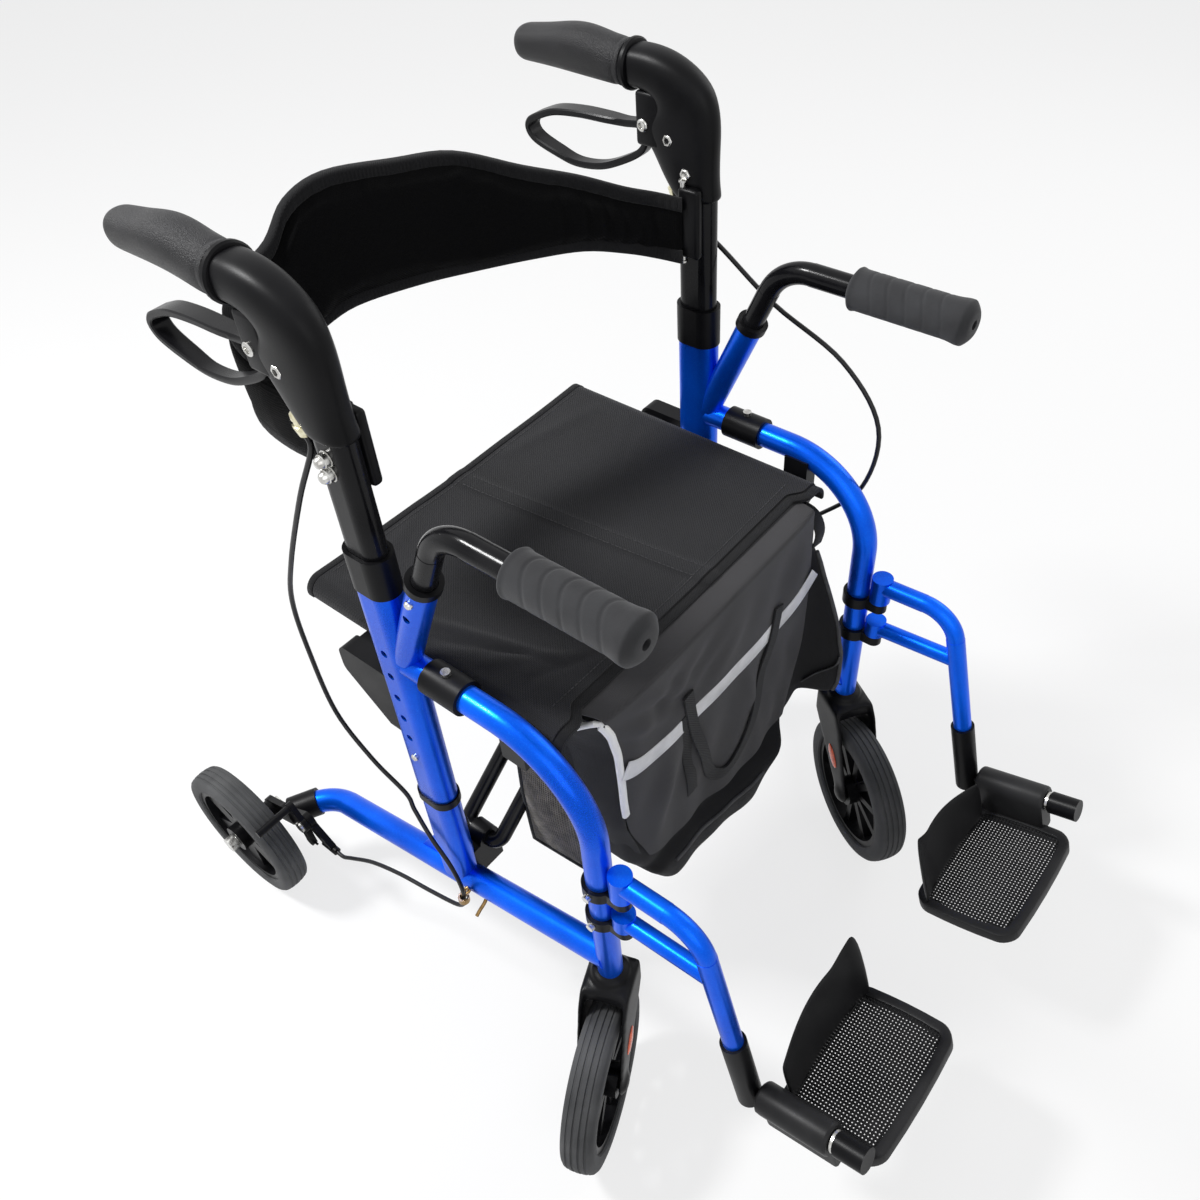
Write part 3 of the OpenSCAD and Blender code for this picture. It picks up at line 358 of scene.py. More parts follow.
def cast(piece):
    """Rounds a solid piece all over, as a casting is."""
    even = piece.modifiers.new("even", "REMESH")
    even.mode = "VOXEL"
    even.voxel_size = 0.0018
    worn = piece.modifiers.new("worn", "SMOOTH")
    worn.factor = 0.5
    worn.iterations = 50
    return piece


for side in SIDES:
    for name in ("side_plastics", "rear_bracket", "hanger_clamps", "rear_rim", "front_rim", "foot_pivot",
                 "brake_arm"):
        dress(nodes[side + "_" + name], black_plastic)
    dress(cast(nodes[side + "_caster_fork"]), black_plastic)


# Small metal: axles, screws, brake parts, buttons and cable ends, zinc plated and slightly tarnished.
zinc = finish("zinc", (0.42, 0.41, 0.39), (0.74, 0.74, 0.72), 0.16, 0.36, clouds=160, grain=2500, bump=0.05,
              depth=0.0002, metallic=1.0)


def put_on(piece, material, body, stands_for=None):
    """Gives a piece its finish, hides the node that it replaces and puts the piece under its body."""
    dress(piece, material)
    if stands_for:
        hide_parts(stands_for)
    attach(piece, body)


bronze = finish("bronze", (0.20, 0.12, 0.045), (0.38, 0.25, 0.11), 0.2, 0.4, clouds=140, grain=2400,
                metallic=1.0)
HOOK_REACH, CLIP_R = 0.035, 0.0021
CLIP = [  # the hook's wire, from the cable's ring over the rail to a free prong
    (26, -24.6, 184), (21, -22.6, 190), (15.3, -23.9, 194), (9, -28.9, 195), (6, -38.2, 194),
    (6.4, -45.9, 192), (13, -48, 186), (21.6, -47.5, 180), (28, -47.7, 176),
]
for side in SIDES:
    for name in ("side_hardware", "post_button", "arm_button", "handle_hardware"):
        dress(nodes[side + "_" + name], zinc)
    # The cable's hook is yellow-passivated, browner than the rest
    fixings = nodes[side + "_side_hardware"].data
    fixings.materials.append(bronze)
    for face in fixings.polygons:
        if (face.center - at_side(to_stop[0], side)).length < HOOK_REACH:
            face.material_index = 1
    line = smooth_line([at_side(p, side) for p in CLIP], 5)
    clip = smooth_shade(sweep(side + "_rail_clip", line, disc(CLIP_R, 10), Vector((0, 0, 1))), 50)
    put_on(clip, bronze, side + "_side")


# Wheels: grey solid rubber tyres with four grooves round the tread, pressed on black nylon rims.
tyre_rubber = finish("tyre_rubber", (0.050, 0.051, 0.053), (0.094, 0.095, 0.097), 0.62, 0.86, clouds=22,
                     grain=700, bump=0.25, depth=0.0005)
half_tread = [(0.0, 0.0950), (0.0022, 0.0950), (0.0028, 0.0936), (0.0044, 0.0936), (0.0050, 0.0948),
              (0.0086, 0.0944), (0.0092, 0.0930), (0.0108, 0.0930), (0.0114, 0.0938), (0.0146, 0.0926),
              (0.0168, 0.0902), (0.0179, 0.0860), (0.0180, 0.0790), (0.0170, 0.0752), (0.0150, 0.0741)]
tread = [(-x, r) for x, r in reversed(half_tread[1:])] + half_tread
CASTER_TURNS = {"right": -67.0, "left": -32.0}
wheel_turns = {side + "_rear": 0.0 for side in SIDES}
wheel_turns.update({side + "_front": angle for side, angle in CASTER_TURNS.items()})
for wheel, caster_turn in wheel_turns.items():
    low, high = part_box(wheel + "_tyre")
    bpy.ops.object.select_all(action="DESELECT")
    bpy.ops.mesh.primitive_circle_add(vertices=len(tread), fill_type="NOTHING")
    tyre = bpy.context.object
    tyre.name = tyre.data.name = wheel + "_ribbed_tyre"
    bpy.ops.object.mode_set(mode="EDIT")
    shape = bmesh.from_edit_mesh(tyre.data)
    for vert, (x, r) in zip(shape.verts, tread):
        vert.co = (x, 0, r)
    bmesh.update_edit_mesh(tyre.data)
    bpy.ops.mesh.spin(steps=96, angle=2 * math.pi, center=(0, 0, 0), axis=(1, 0, 0))
    bpy.ops.mesh.select_all(action="SELECT")
    bpy.ops.mesh.remove_doubles(threshold=0.00002)
    bpy.ops.mesh.normals_make_consistent(inside=False)
    bpy.ops.object.mode_set(mode="OBJECT")
    turned_by = Matrix.Rotation(math.radians(caster_turn), 4, "Z")
    tyre.data.transform(Matrix.Translation((low + high) / 2) @ turned_by)
    put_on(smooth_shade(tyre, 28), tyre_rubber, wheel + "_wheel", wheel + "_tyre")


# Caster reflectors: orange ovals set in the outer faces of both fork legs.
orange_lens = finish("orange_lens", (0.62, 0.060, 0.012), (0.86, 0.120, 0.030), 0.1, 0.25, clouds=80,
                     grain=2000, bump=0.1, coat=0.3, gloss=0.5)
CASTER_Y, LEG_FACE, LENS = -0.220, 0.0262, (-0.034, 0.141)
LENS_TURN, LENS_HALF = math.radians(-38), (0.0022, 0.0068, 0.0165, 1)
for side, caster_turn in CASTER_TURNS.items():
    bpy.ops.object.select_all(action="DESELECT")
    for face in (-1, 1):
        bpy.ops.mesh.primitive_uv_sphere_add(segments=28, ring_count=16, radius=1)
        lens = bpy.context.object
        lens.name = lens.data.name = "%s_%s_reflector" % (side, "inner" if face > 0 else "outer")
        lens.data.transform(Matrix.Translation((face * LEG_FACE, *LENS)) @ Matrix.Rotation(LENS_TURN, 4, "X")
                            @ Matrix.Diagonal(LENS_HALF))
        lens.data.transform(Matrix.Translation(MIDDLE + Vector((SIDES[side] * FRAME_HALF, CASTER_Y, 0)))
                            @ Matrix.Rotation(math.radians(caster_turn), 4, "Z"))
        put_on(smooth_shade(lens, 60), orange_lens, side + "_caster")


# Handle shells: two black nylon halves screwed together round the tube's top, bent into the grip like a
# pistol butt. Behind, they widen into a cheek that the brake lever turns in.
SHELL_STATIONS = [  # y and z of the middle, heading, half depth and half width, in millimetres and degrees
    (76, 905, 180, 19, 19), (66, 905, 180, 19, 19), (54, 905, 184, 19.5, 19), (38, 902, 198, 21, 19),
    (23, 893, 219, 26, 18.5), (15, 880, 243, 36, 18), (20, 862, 262, 44, 17.5), (18, 846, 268, 41, 17),
    (13, 830, 270, 35, 16.5), (8, 812, 270, 30, 16), (2, 800, 270, 25.5, 16), (0, 794, 270, 23.8, 15.6),
]
SHELL_RING = [(0, 19), (0.6, 21.5), (2.5, 23), (5.5, 23), (7.4, 21.5), (8, 19)]


def soft_square(count, power):
    """Points round a circle, squared off a little."""
    ring = []
    for k in range(count):
        c, s = math.cos(2 * math.pi * k / count), math.sin(2 * math.pi * k / count)
        ring.append((math.copysign(abs(c) ** (2 / power), c), math.copysign(abs(s) ** (2 / power), s)))
    return ring


def to_side(piece, side):
    """Moves a piece drawn in metres round the side frame's own origin on to that side of the chair."""
    place = Matrix.Translation(MIDDLE + Vector((SIDES[side] * FRAME_HALF, 0, 0)))
    piece.data.transform(place @ Matrix.Diagonal((SIDES[side], 1, 1, 1)))
    if SIDES[side] < 0:
        piece.data.flip_normals()
    return piece


def apply_all(piece):
    select_only(piece)
    for modifier in list(piece.modifiers):
        bpy.ops.object.modifier_apply(modifier=modifier.name)
    return piece


def rounder(piece, levels=1):
    smooth = piece.modifiers.new("rounder", "SUBSURF")
    smooth.levels = smooth.render_levels = levels
    return apply_all(piece)


def block(name, low, high, bevel, segments=3):
    """A box between two corners, in millimetres, with rounded edges."""
    bpy.ops.object.select_all(action="DESELECT")
    middle = [(a + b) / 2000 for a, b in zip(low, high)]
    bpy.ops.mesh.primitive_cube_add(size=1, location=(0, 0, 0))
    piece = bpy.context.object
    piece.name = piece.data.name = name
    size = [(b - a) / 1000 for a, b in zip(low, high)]
    piece.data.transform(Matrix.Translation(middle) @ Matrix.Diagonal((*size, 1)))
    if bevel:
        bpy.ops.object.mode_set(mode="EDIT")
        bpy.ops.mesh.select_all(action="SELECT")
        bpy.ops.mesh.bevel(offset=bevel / 1000, segments=segments, profile=0.5)
        bpy.ops.object.mode_set(mode="OBJECT")
    return piece


def turned(name, profile, axis, place, steps=32):
    """A piece turned on a lathe from distances and radii in millimetres, its axis from place along axis."""
    rings = []
    for along, radius in profile:
        rings.append([Vector((a, b, along / 1000)) for a, b in disc(max(radius, 0.01) / 1000, steps)])
    piece = pull(name, rings)
    facing = Vector(axis).to_track_quat("Z", "Y").to_matrix().to_4x4()
    piece.data.transform(Matrix.Translation(Vector(place) / 1000) @ facing)
    return piece


def join(name, pieces):
    bpy.ops.object.select_all(action="DESELECT")
    for piece in pieces:
        piece.select_set(True)
    bpy.context.view_layer.objects.active = pieces[0]
    bpy.ops.object.join()
    pieces[0].name = pieces[0].data.name = name
    return pieces[0]


for side in SIDES:
    rings = []
    for y, z, heading, depth, width in SHELL_STATIONS:
        a = math.radians(heading)
        square_to = Vector((0, -math.sin(a), math.cos(a)))
        rings.append([Vector((0, y, z)) / 1000 + square_to * (c * depth / 1000)
                      + Vector((s * width / 1000, 0, 0)) for c, s in soft_square(20, 2.5)])
    shell = rounder(pull(side + "_handle_body", rings), 2)
    slot = block("slot", (-6.9, 42, 760), (6.9, 120, 874), 0)
    cut = shell.modifiers.new("slot", "BOOLEAN")
    cut.operation = "DIFFERENCE"
    cut.object = slot
    cut.solver = "EXACT"
    apply_all(shell)
    bpy.data.objects.remove(slot)
    ring = turned("ring", SHELL_RING, (0, 1, 0), (0, 68, 905))
    plate = block("plate", (-23, -15, 742), (-12.4, 9, 812), 4)
    cheeks = [block("cheek", (x, 34, 838), (x + 8.4, 62, 888), 3.6) for x in (7, -15.4)]
    shell = join(side + "_handle_body", [shell, ring, plate] + cheeks)
    smooth_shade(to_side(shell, side), 35)
    put_on(shell, black_plastic, side + "_handle", side + "_handle_shell")


# Handle fittings: bolt heads on the lever's pivot and in the shell, a brass barrel that the brake cable
# screws into, and two dome nuts below the shell that hold the backrest's bracket on the tube.
brass = finish("brass", (0.50, 0.45, 0.27), (0.82, 0.79, 0.60), 0.16, 0.32, clouds=140, grain=2400,
               metallic=1.0)
BOLT_HEAD = [(0, 5.9), (1.4, 5.9), (2.3, 5.2), (2.7, 4.0), (2.5, 3.1), (1.0, 2.9), (0.9, 0.2)]
STRAP_PIN = [(0, 2.6), (5, 2.6), (5.4, 4), (7.4, 4), (8.2, 2.6)]
DOME_NUT = [(0, 7.2), (1.0, 7.4), (1.4, 6.3), (5.6, 6.3), (6.4, 5.4), (8.6, 5.0), (10.6, 3.4), (11.4, 0.4)]
BARREL = [(-0.4, 2.7), (0, 4.8), (9, 7.6), (10, 7.8), (10.6, 6.2), (15, 6.2), (15.6, 7.4), (20, 7.4),
          (24.2, 4)]
PIVOT, SHELL_SCREW, NUTS, BARREL_FOOT = (53, 858), (23.5, 850), ((0, 781), (0, 767)), (5, 31, 786)
for side in SIDES:
    bolts = [turned("bolt", BOLT_HEAD, (s, 0, 0), (15 * s, *PIVOT)) for s in (-1, 1)]
    bolts.append(turned("bolt", BOLT_HEAD, (1, 0, 0), (15.4, *SHELL_SCREW), 6))
    bolts += [turned("nut", DOME_NUT, (1, 0, 0), (11.6, *place), 12) for place in NUTS]
    bolts += [turned("screw", BOLT_HEAD, (-1, 0, 0), (-15.2, *place), 6) for place in (SHELL_SCREW, (4, 822))]
    bolts += [turned("pin", STRAP_PIN, (0, 0, way), (-18, 5, z)) for way, z in ((1, 811), (-1, 743))]
    fittings = {"handle_bolts": (join("bolts", bolts), zinc),
                "cable_barrel": (turned("cable_barrel", BARREL, (0, 0, 1), BARREL_FOOT, 24), brass)}
    for name, (fitting, metal) in fittings.items():
        fitting.name = fitting.data.name = side + "_" + name
        put_on(smooth_shade(to_side(fitting, side), 35), metal, side + "_handle")


# Push grips: soft dark rubber with a stippled skin, swollen under the palm and pushed over the tube's end.
grip_rubber = finish("grip_rubber", (0.005, 0.005, 0.006), (0.012, 0.012, 0.014), 0.34, 0.52, clouds=35,
                     grain=1100, bump=0.9, depth=0.0009, gloss=0.3)
GRIP_STATIONS = [  # y, z of the middle, half height, half width, and how much wider the crown is
    (76.2, 905, 19, 19, 0), (78, 905, 20.4, 20.4, 0), (82, 905, 20.6, 20.4, 0), (84, 905, 19.2, 19.2, 0),
    (87, 905, 20.6, 20.4, 0), (97, 905.4, 20.8, 20, 0.02), (110, 906.4, 21.8, 19.6, 0.10),
    (124, 907.4, 22.8, 19.4, 0.2), (140, 907.8, 22.8, 19, 0.26), (156, 907, 21.4, 18.4, 0.26),
    (172, 905.8, 19.4, 17.8, 0.2), (188, 904.8, 18, 17.2, 0.14), (200, 904, 17.2, 16.6, 0.1),
    (206, 903.6, 16.6, 16, 0.08), (211, 903.4, 14.4, 14, 0.05), (213.4, 903.4, 10.5, 10.5, 0),
    (213.9, 903.4, 4, 4, 0),
]
for side in SIDES:
    rings = [[Vector((s * width * (1 + wider * c), y, z + c * tall)) / 1000 for c, s in soft_square(28, 2.2)]
             for y, z, tall, width, wider in GRIP_STATIONS]
    grip = rounder(pull(side + "_palm_grip", rings), 2)
    put_on(smooth_shade(to_side(grip, side)), grip_rubber, side + "_handle", side + "_grip")


# Brake levers: a closed loop of glass-filled nylon for the fingers, on a hub that turns in the shell's cheek.
LEVER_LOOP = [  # y, z and half width of the band
    (62, 852, 6.3), (84, 850.5, 6.4), (108, 850, 8.6), (140, 849, 9), (172, 845, 9), (194, 837, 9),
    (207, 830, 9), (210.5, 821, 9), (202, 811.5, 8.8), (176, 803, 8), (150, 797.5, 6.6), (118, 801, 6),
    (90, 812, 5.8), (66, 826, 5.8), (58, 840, 6),
]
LEVER_BAND = ((1, 2), (0.86, 3.4), (-0.86, 3.4), (-1, 2), (-1, -2), (-0.86, -3.4), (0.86, -3.4), (1, -2))
lever_nylon = finish("lever_nylon", (0.003, 0.003, 0.004), (0.007, 0.007, 0.008), 0.22, 0.4, clouds=25,
                     grain=1200, bump=0.08, depth=0.0003, coat=0.05, gloss=0.14)
for side in SIDES:
    line = smooth_line([(half, y, z) for y, z, half in LEVER_LOOP], 6, closed=True)
    rings = []
    for i, (half, y, z) in enumerate(line):
        along = line[(i + 1) % len(line)] - line[i - 1]
        off = Vector((0, -along.z, along.y)).normalized()
        rings.append([Vector((x * half, y, z)) / 1000 + off * (t / 1000) for x, t in LEVER_BAND])
    loop = pull("loop", rings, closed=True)
    hub = turned("hub", [(0, 8), (0.8, 10), (12, 10), (12.8, 8)], (1, 0, 0), (-6.4, *PIVOT))
    lever = join(side + "_finger_lever", [loop, hub])
    smooth_shade(to_side(lever, side), 35)
    put_on(lever, lever_nylon, side + "_lever", side + "_brake_lever")


# Armrest grips: closed-cell foam sleeves with curved grooves across them, flared to a lip at the front end.
foam = finish("foam", (0.022, 0.022, 0.024), (0.040, 0.041, 0.044), 0.66, 0.86, clouds=30, grain=1500,
              bump=0.5, depth=0.0005, sheen=0.1)
GRIP_AROUND, GRIP_ALONG, FOAM_FRONT, FOAM_L, ARM_Z = 64, 118, -290.0, 118.0, 752.0
FOAM_R, GROOVE_STEP, GROOVE_DEEP, HOLE_R, HOLE_DEEP = 19.0, 17.0, 1.1, 4.5, 8
for side in SIDES:
    rings = []
    for i in range(GRIP_ALONG + 1):
        s = FOAM_L * i / GRIP_ALONG
        lip = 1.4 * math.exp(-((s - 9) / 8) ** 2) + 1.0 * math.exp(-((FOAM_L - 5 - s) / 2.5) ** 2)
        end = min(1.0, math.sqrt(min(1.0, (s + 0.6) / 7)), math.sqrt(min(1.0, (FOAM_L - s + 0.6) / 5)))
        ring = []
        for k in range(GRIP_AROUND):
            a = 2 * math.pi * k / GRIP_AROUND
            wave = s - 3.2 * math.cos(2 * a) - 2.0 * math.cos(a)
            top = 0.5 + 0.5 * math.cos(a)
            inside = 1 if 20 < s < 102 else 0
            from_groove = wave % GROOVE_STEP - GROOVE_STEP / 2
            groove = inside * GROOVE_DEEP * top * math.exp(-(from_groove / 1.5) ** 2)
            r = (FOAM_R + lip - groove) * (0.45 + 0.55 * end)
            ring.append(Vector((r * math.sin(a), FOAM_FRONT + s, ARM_Z + r * math.cos(a))) / 1000)
        rings.append(ring)
    hole = [[Vector((across, FOAM_FRONT + depth, ARM_Z + up)) / 1000
             for up, across in disc(HOLE_R, GRIP_AROUND)] for depth in (HOLE_DEEP, 0)]
    sleeve = pull(side + "_foam_grip", hole + rings)
    put_on(smooth_shade(to_side(sleeve, side)), foam, side + "_armrest", side + "_arm_grip")


# Footplates: black nylon plates with a raised rim round a perforated tread, a heel guard along the rear edge
# that rises to a horn at the inner corner, and a rounded hinge block on the pivot rod.
FOOT = Matrix.Translation((0, -0.430, 0.196)) @ Matrix.Rotation(math.radians(-16), 4, "X")
plate_plastic = finish("plate_plastic", (0.008, 0.008, 0.009), (0.018, 0.018, 0.019), 0.32, 0.52, clouds=16,
                       grain=1300, bump=0.12, depth=0.0003)
PLATE_IN, PLATE_OUT, PLATE_FRONT, PLATE_REAR, PLATE_TOP, PLATE_LOW = -169, -11, -85, 27, -30, -42
PLATE_ROUND, RIM_W, TREAD_DOWN, TREAD_SIZE = 17, 11, 3, (0.142, 0.096, 1, 1)
HINGE_R, HINGE_ENDS = 16.5, ((26, 2), (24.5, 0.4), (23, 0), (-49, 0), (-50.5, 0.4), (-52, 2))
ROD_COLLAR = [(0, 7), (0.5, 10.6), (1.2, 11.2), (3.8, 11.2), (4.5, 10.6), (5, 7)]


def round_frame(x0, x1, y0, y1, r, z):
    """Points round a rectangle with round corners, its sides bowed out by a few millimetres."""
    ring = []
    for cx, cy, start in ((x1 - r, y0 + r, 270), (x1 - r, y1 - r, 0), (x0 + r, y1 - r, 90),
                          (x0 + r, y0 + r, 180)):
        for step in range(8):
            a = math.radians(start + 90 * step / 7)
            ring.append((cx + r * math.cos(a), cy + r * math.sin(a)))
    places = []
    for (ax, ay), (bx, by) in zip(ring, ring[1:] + ring[:1]):
        places += [(ax + (bx - ax) * t / 4, ay + (by - ay) * t / 4) for t in range(4)]
    bowed = []
    for x, y in places:
        u, v = (2 * x - x0 - x1) / (x1 - x0), (2 * y - y0 - y1) / (y1 - y0)
        x += 3 * (1 - v * v) * max(-1.0, min(1.0, u * 4)) * abs(u) ** 6
        y += 3 * (1 - u * u) * max(-1.0, min(1.0, v * 4)) * abs(v) ** 6
        bowed.append(Vector((x, y, z)) / 1000)
    return bowed


for side in SIDES:
    # Rim: a frame with round corners and slightly bowed edges
    rings = [round_frame(PLATE_IN + inset, PLATE_OUT - inset, PLATE_FRONT + inset, PLATE_REAR - inset,
                         PLATE_ROUND - inset, z)
             for inset, z in ((0, PLATE_LOW), (0, PLATE_TOP), (RIM_W, PLATE_TOP), (RIM_W, PLATE_LOW))]
    rim = pull("rim", rings, closed=True)
    edge = rim.modifiers.new("edges", "BEVEL")
    edge.width = 0.0018
    edge.segments = 2
    edge.limit_method = "ANGLE"
    edge.angle_limit = math.radians(50)
    apply_all(rim)
    # Tread: a lattice of small square holes
    bpy.ops.object.select_all(action="DESELECT")
    bpy.ops.mesh.primitive_grid_add(x_subdivisions=38, y_subdivisions=25, size=1)
    tread_net = bpy.context.object
    tread_at = ((PLATE_IN + PLATE_OUT) / 2000, (PLATE_FRONT + PLATE_REAR) / 2000,
                (PLATE_TOP - TREAD_DOWN) / 1000)
    tread_net.data.transform(Matrix.Translation(tread_at) @ Matrix.Diagonal(TREAD_SIZE))
    wires = tread_net.modifiers.new("holes", "WIREFRAME")
    wires.thickness = 0.0027
    wires.use_even_offset = True
    apply_all(tread_net)
    # Heel guard
    rings = []
    for i in range(25):
        t = i / 24
        x = -24 - 143 * t
        bow = 5 + 13 * math.sin(math.pi * t) - 16 * max(0.0, t - 0.86) / 0.14
        top = 22 + 22 * math.sin(math.pi * min(1, t * 1.15) * 0.6) + 34 * max(0.0, t - 0.72) ** 1.5 / 0.148
        top -= 26 * max(0.0, t - 0.96) / 0.04
        lean = 6 * math.sin(math.pi * t)
        y = PLATE_REAR - 13 + bow * 0.28
        rings.append([Vector((x, y + off, z)) / 1000
                      for off, z in ((-2.2, PLATE_LOW + 3), (lean * 0.5 - 2.2, 0), (lean - 1.8, top),
                                     (lean + 1.8, top), (lean * 0.5 + 2.2, 0), (2.2, PLATE_LOW + 3))])
    guard = rounder(pull("guard", rings), 2)
    # Hinge block: a round top on a square foot
    outline = [(HINGE_R * math.cos(a), HINGE_R * math.sin(a)) for a in [math.pi * k / 14 for k in range(15)]]
    outline += [(-HINGE_R, -38), (-14, -42), (4, -42), (6, -40), (6, -17), (14, -9)]
    hinge = pull("hinge", [[Vector((x * (1 - inset / 17), y, (z + 12) * (1 - inset / 28) - 12)) / 1000
                            for x, z in outline] for y, inset in HINGE_ENDS])
    foot = join(side + "_tread_plate", [rim, tread_net, guard, hinge])
    foot.data.transform(FOOT)
    smooth_shade(to_side(foot, side), 35)
    put_on(foot, plate_plastic, side + "_plate", side + "_footplate")
    collar = turned(side + "_rod_collar", ROD_COLLAR, (0, 1, 0), (0, -57, 0))
    collar.data.transform(FOOT)
    put_on(smooth_shade(to_side(collar, side), 35), zinc, side + "_footrest")


# Seat: a sling of black woven polyester, folded round both seat rails and hemmed, with a stitched band from
# front to back a little left of its middle and a bound edge at the front and rear.
def weave_group():
    """Shared effect: threads passing over and under each other on a flat cloth."""
    if "weave" in bpy.data.node_groups:
        return bpy.data.node_groups["weave"]
    group, given, result = new_group("weave", [("Vector", "Vector"), ("Threads", "Float")],
                                     [("Height", "Float")])
    many = add_node(group, "VectorMath", operation="SCALE")
    apart = add_node(group, "SeparateXYZ")
    flat = add_node(group, "CombineXYZ", {"Z": 0.5})
    over = add_node(group, "TexChecker", {"Scale": 1.0, "Color1": (1, 1, 1, 1), "Color2": (0, 0, 0, 1)})
    either = add_node(group, "Mix")
    link_all(group, ((given, "Vector", many, 0), (given, "Threads", many, "Scale"), (many, 0, apart, 0)))
    for axis, choice in (("X", 2), ("Y", 3)):
        turn_by = add_node(group, "Math", {1: math.pi}, operation="MULTIPLY")
        wave = add_node(group, "Math", operation="SINE")
        ridge = add_node(group, "Math", operation="ABSOLUTE")
        link_all(group, ((apart, axis, flat, axis), (apart, axis, turn_by, 0), (turn_by, 0, wave, 0),
                         (wave, 0, ridge, 0), (ridge, 0, either, choice)))
    link_all(group, ((flat, 0, over, "Vector"), (over, "Fac", either, "Factor"),
                     (either, 0, result, "Height")))
    return group


def cloth(name, dark, light, threads, facing=(0, 0, 0), weave=0.6, **more):
    """A woven finish: the threads lie square to the way that facing turns the pattern, in degrees."""
    made = finish(name, dark, light, 0.68, 0.9, **more)
    tree = made.node_tree
    shader = tree.nodes["Principled BSDF"]
    turned_place = add_node(tree, "Mapping", {"Rotation": [math.radians(a) for a in facing]})
    threads_at = add_node(tree, "Group", {"Threads": threads}, node_tree=weave_group())
    woven = add_node(tree, "Bump", {"Strength": weave, "Distance": 0.0005})
    shade = add_node(tree, "Mix", {"Factor": 0.5}, data_type="RGBA", blend_type="MULTIPLY")
    tone = add_node(tree, "MapRange", {"To Min": 0.35, "To Max": 1.25})
    link_all(tree, ((tree.nodes["Texture Coordinate"], "Object", turned_place, "Vector"),
                    (turned_place, "Vector", threads_at, "Vector"), (threads_at, "Height", woven, "Height"),
                    (threads_at, "Height", tone, "Value"), (tree.nodes["bump"], "Normal", woven, "Normal"),
                    (woven, "Normal", shader, "Normal"), (tree.nodes["mottle"], "Color", shade, 6),
                    (tone, "Result", shade, 7), (shade, 2, shader, "Base Color")))
    return made


seat_cloth = cloth("seat_cloth", (0.008, 0.008, 0.009), (0.018, 0.018, 0.020), 620, clouds=7, grain=1500,
                   bump=0.3, depth=0.0003, sheen=0.1, gloss=0.1)
binding_cloth = cloth("binding_cloth", (0.005, 0.005, 0.006), (0.011, 0.011, 0.012), 900, clouds=30,
                      grain=1500, sheen=0.08, gloss=0.1)
thread = finish("thread", (0.030, 0.030, 0.032), (0.060, 0.060, 0.062), 0.5, 0.7, clouds=200)
RAIL_X, RAIL_Z, RAIL_R, SEAT_FRONT, SEAT_L, SEAT_SAG = 196.0, 525.0, 11.0, -152.0, 309.0, 7.0
SEAT_ACROSS, SEAT_ALONG = 124, 92
HEM_BAND = ((0.0042, 0.0016), (0.0036, 0.0022), (-0.0036, 0.0022), (-0.0042, 0.0016))
SEAT_FOLDS = [  # from x, y to x, y, half width and height of each ridge or furrow
    ((-137, -114), (-178, 30), 4.5, 3.0), ((-140, -110), (-190, 6), 4.5, -2.6),
    ((-120, -124), (-196, -40), 6, 2.4), ((-104, -136), (-190, -96), 6, -1.8),
    ((-150, 60), (-194, 138), 7, 1.8), ((-60, 150), (-150, 120), 8, 1.2), ((70, -130), (190, -60), 9, 1.4),
    ((110, 20), (192, 60), 8, -1.3), ((60, 140), (180, 110), 9, 1.3),
]


def cloth_panel(name, columns, rows, place):
    """A net of so many columns and rows, each of its points put where place says."""
    bpy.ops.object.select_all(action="DESELECT")
    bpy.ops.mesh.primitive_grid_add(x_subdivisions=columns, y_subdivisions=rows, size=1)
    panel = bpy.context.object
    panel.name = panel.data.name = name
    for index, vert in enumerate(panel.data.vertices):
        row, column = divmod(index, columns + 1)
        vert.co = place(column, row)
    return panel


def thicken(piece, thick, offset=-1):
    layer = piece.modifiers.new("cloth", "SOLIDIFY")
    layer.thickness = thick
    layer.offset = offset
    return apply_all(piece)


def ease(value, low, high):
    """0 below low, 1 above high, and a soft rise between."""
    t = min(1.0, max(0.0, (value - low) / (high - low)))
    return t * t * (3 - 2 * t)


def seat_line(lift):
    """Points (x, z) across the seat from the right rail's outer side to the left's, lifted off the rails."""
    wrap = RAIL_R + 0.4 + lift
    line = [(-RAIL_X + wrap * math.cos(math.radians(a)), RAIL_Z + wrap * math.sin(math.radians(a)))
            for a in range(196, 92, -10)]
    line += [(RAIL_X * (2 * i / SEAT_ACROSS - 1), RAIL_Z + wrap) for i in range(SEAT_ACROSS + 1)]
    line += [(-x, z) for x, z in reversed(line[:11])]
    return line


def band_middle(y):
    return 14.5 - 0.1 * y


def seat_height(x, y):
    """How far the cloth lies under its rails' top: the sag, tighter at the hems, folds and the sewn band."""
    if abs(x) > RAIL_X:
        return 0.0
    u, v = x / RAIL_X, (y - SEAT_FRONT) / SEAT_L * 2 - 1
    low = SEAT_SAG * (1 - 0.45 * v ** 4) * (1 - u * u)
    for (ax, ay), (bx, by), wide, high in SEAT_FOLDS:
        along = Vector((bx - ax, by - ay))
        t = min(1.0, max(0.0, Vector((x - ax, y - ay)).dot(along) / along.length_squared))
        off = (Vector((x, y)) - Vector((ax, ay)) - along * t).length
        ridge = high * math.sin(math.pi * (0.15 + 0.7 * t)) * math.exp(-(off / wide) ** 2)
        low -= ridge * min(1.0, (1 - abs(u)) * 14)
    low -= 0.5 * math.sin(u * 7 + v * 2) * math.sin(v * 5 - u) * (1 - u * u)
    return low - 1.1 * math.exp(-((x - band_middle(y)) / 10.5) ** 8)


def seat_front(x):
    """The front edge's y: it reaches further forward where the cloth turns round the rails' ends."""
    return SEAT_FRONT - 12 * ease(abs(x), 168, 188)


def on_seat(x, y, lift):
    return MIDDLE + Vector((x, y, RAIL_Z + RAIL_R + 0.4 + lift - seat_height(x, y))) / 1000


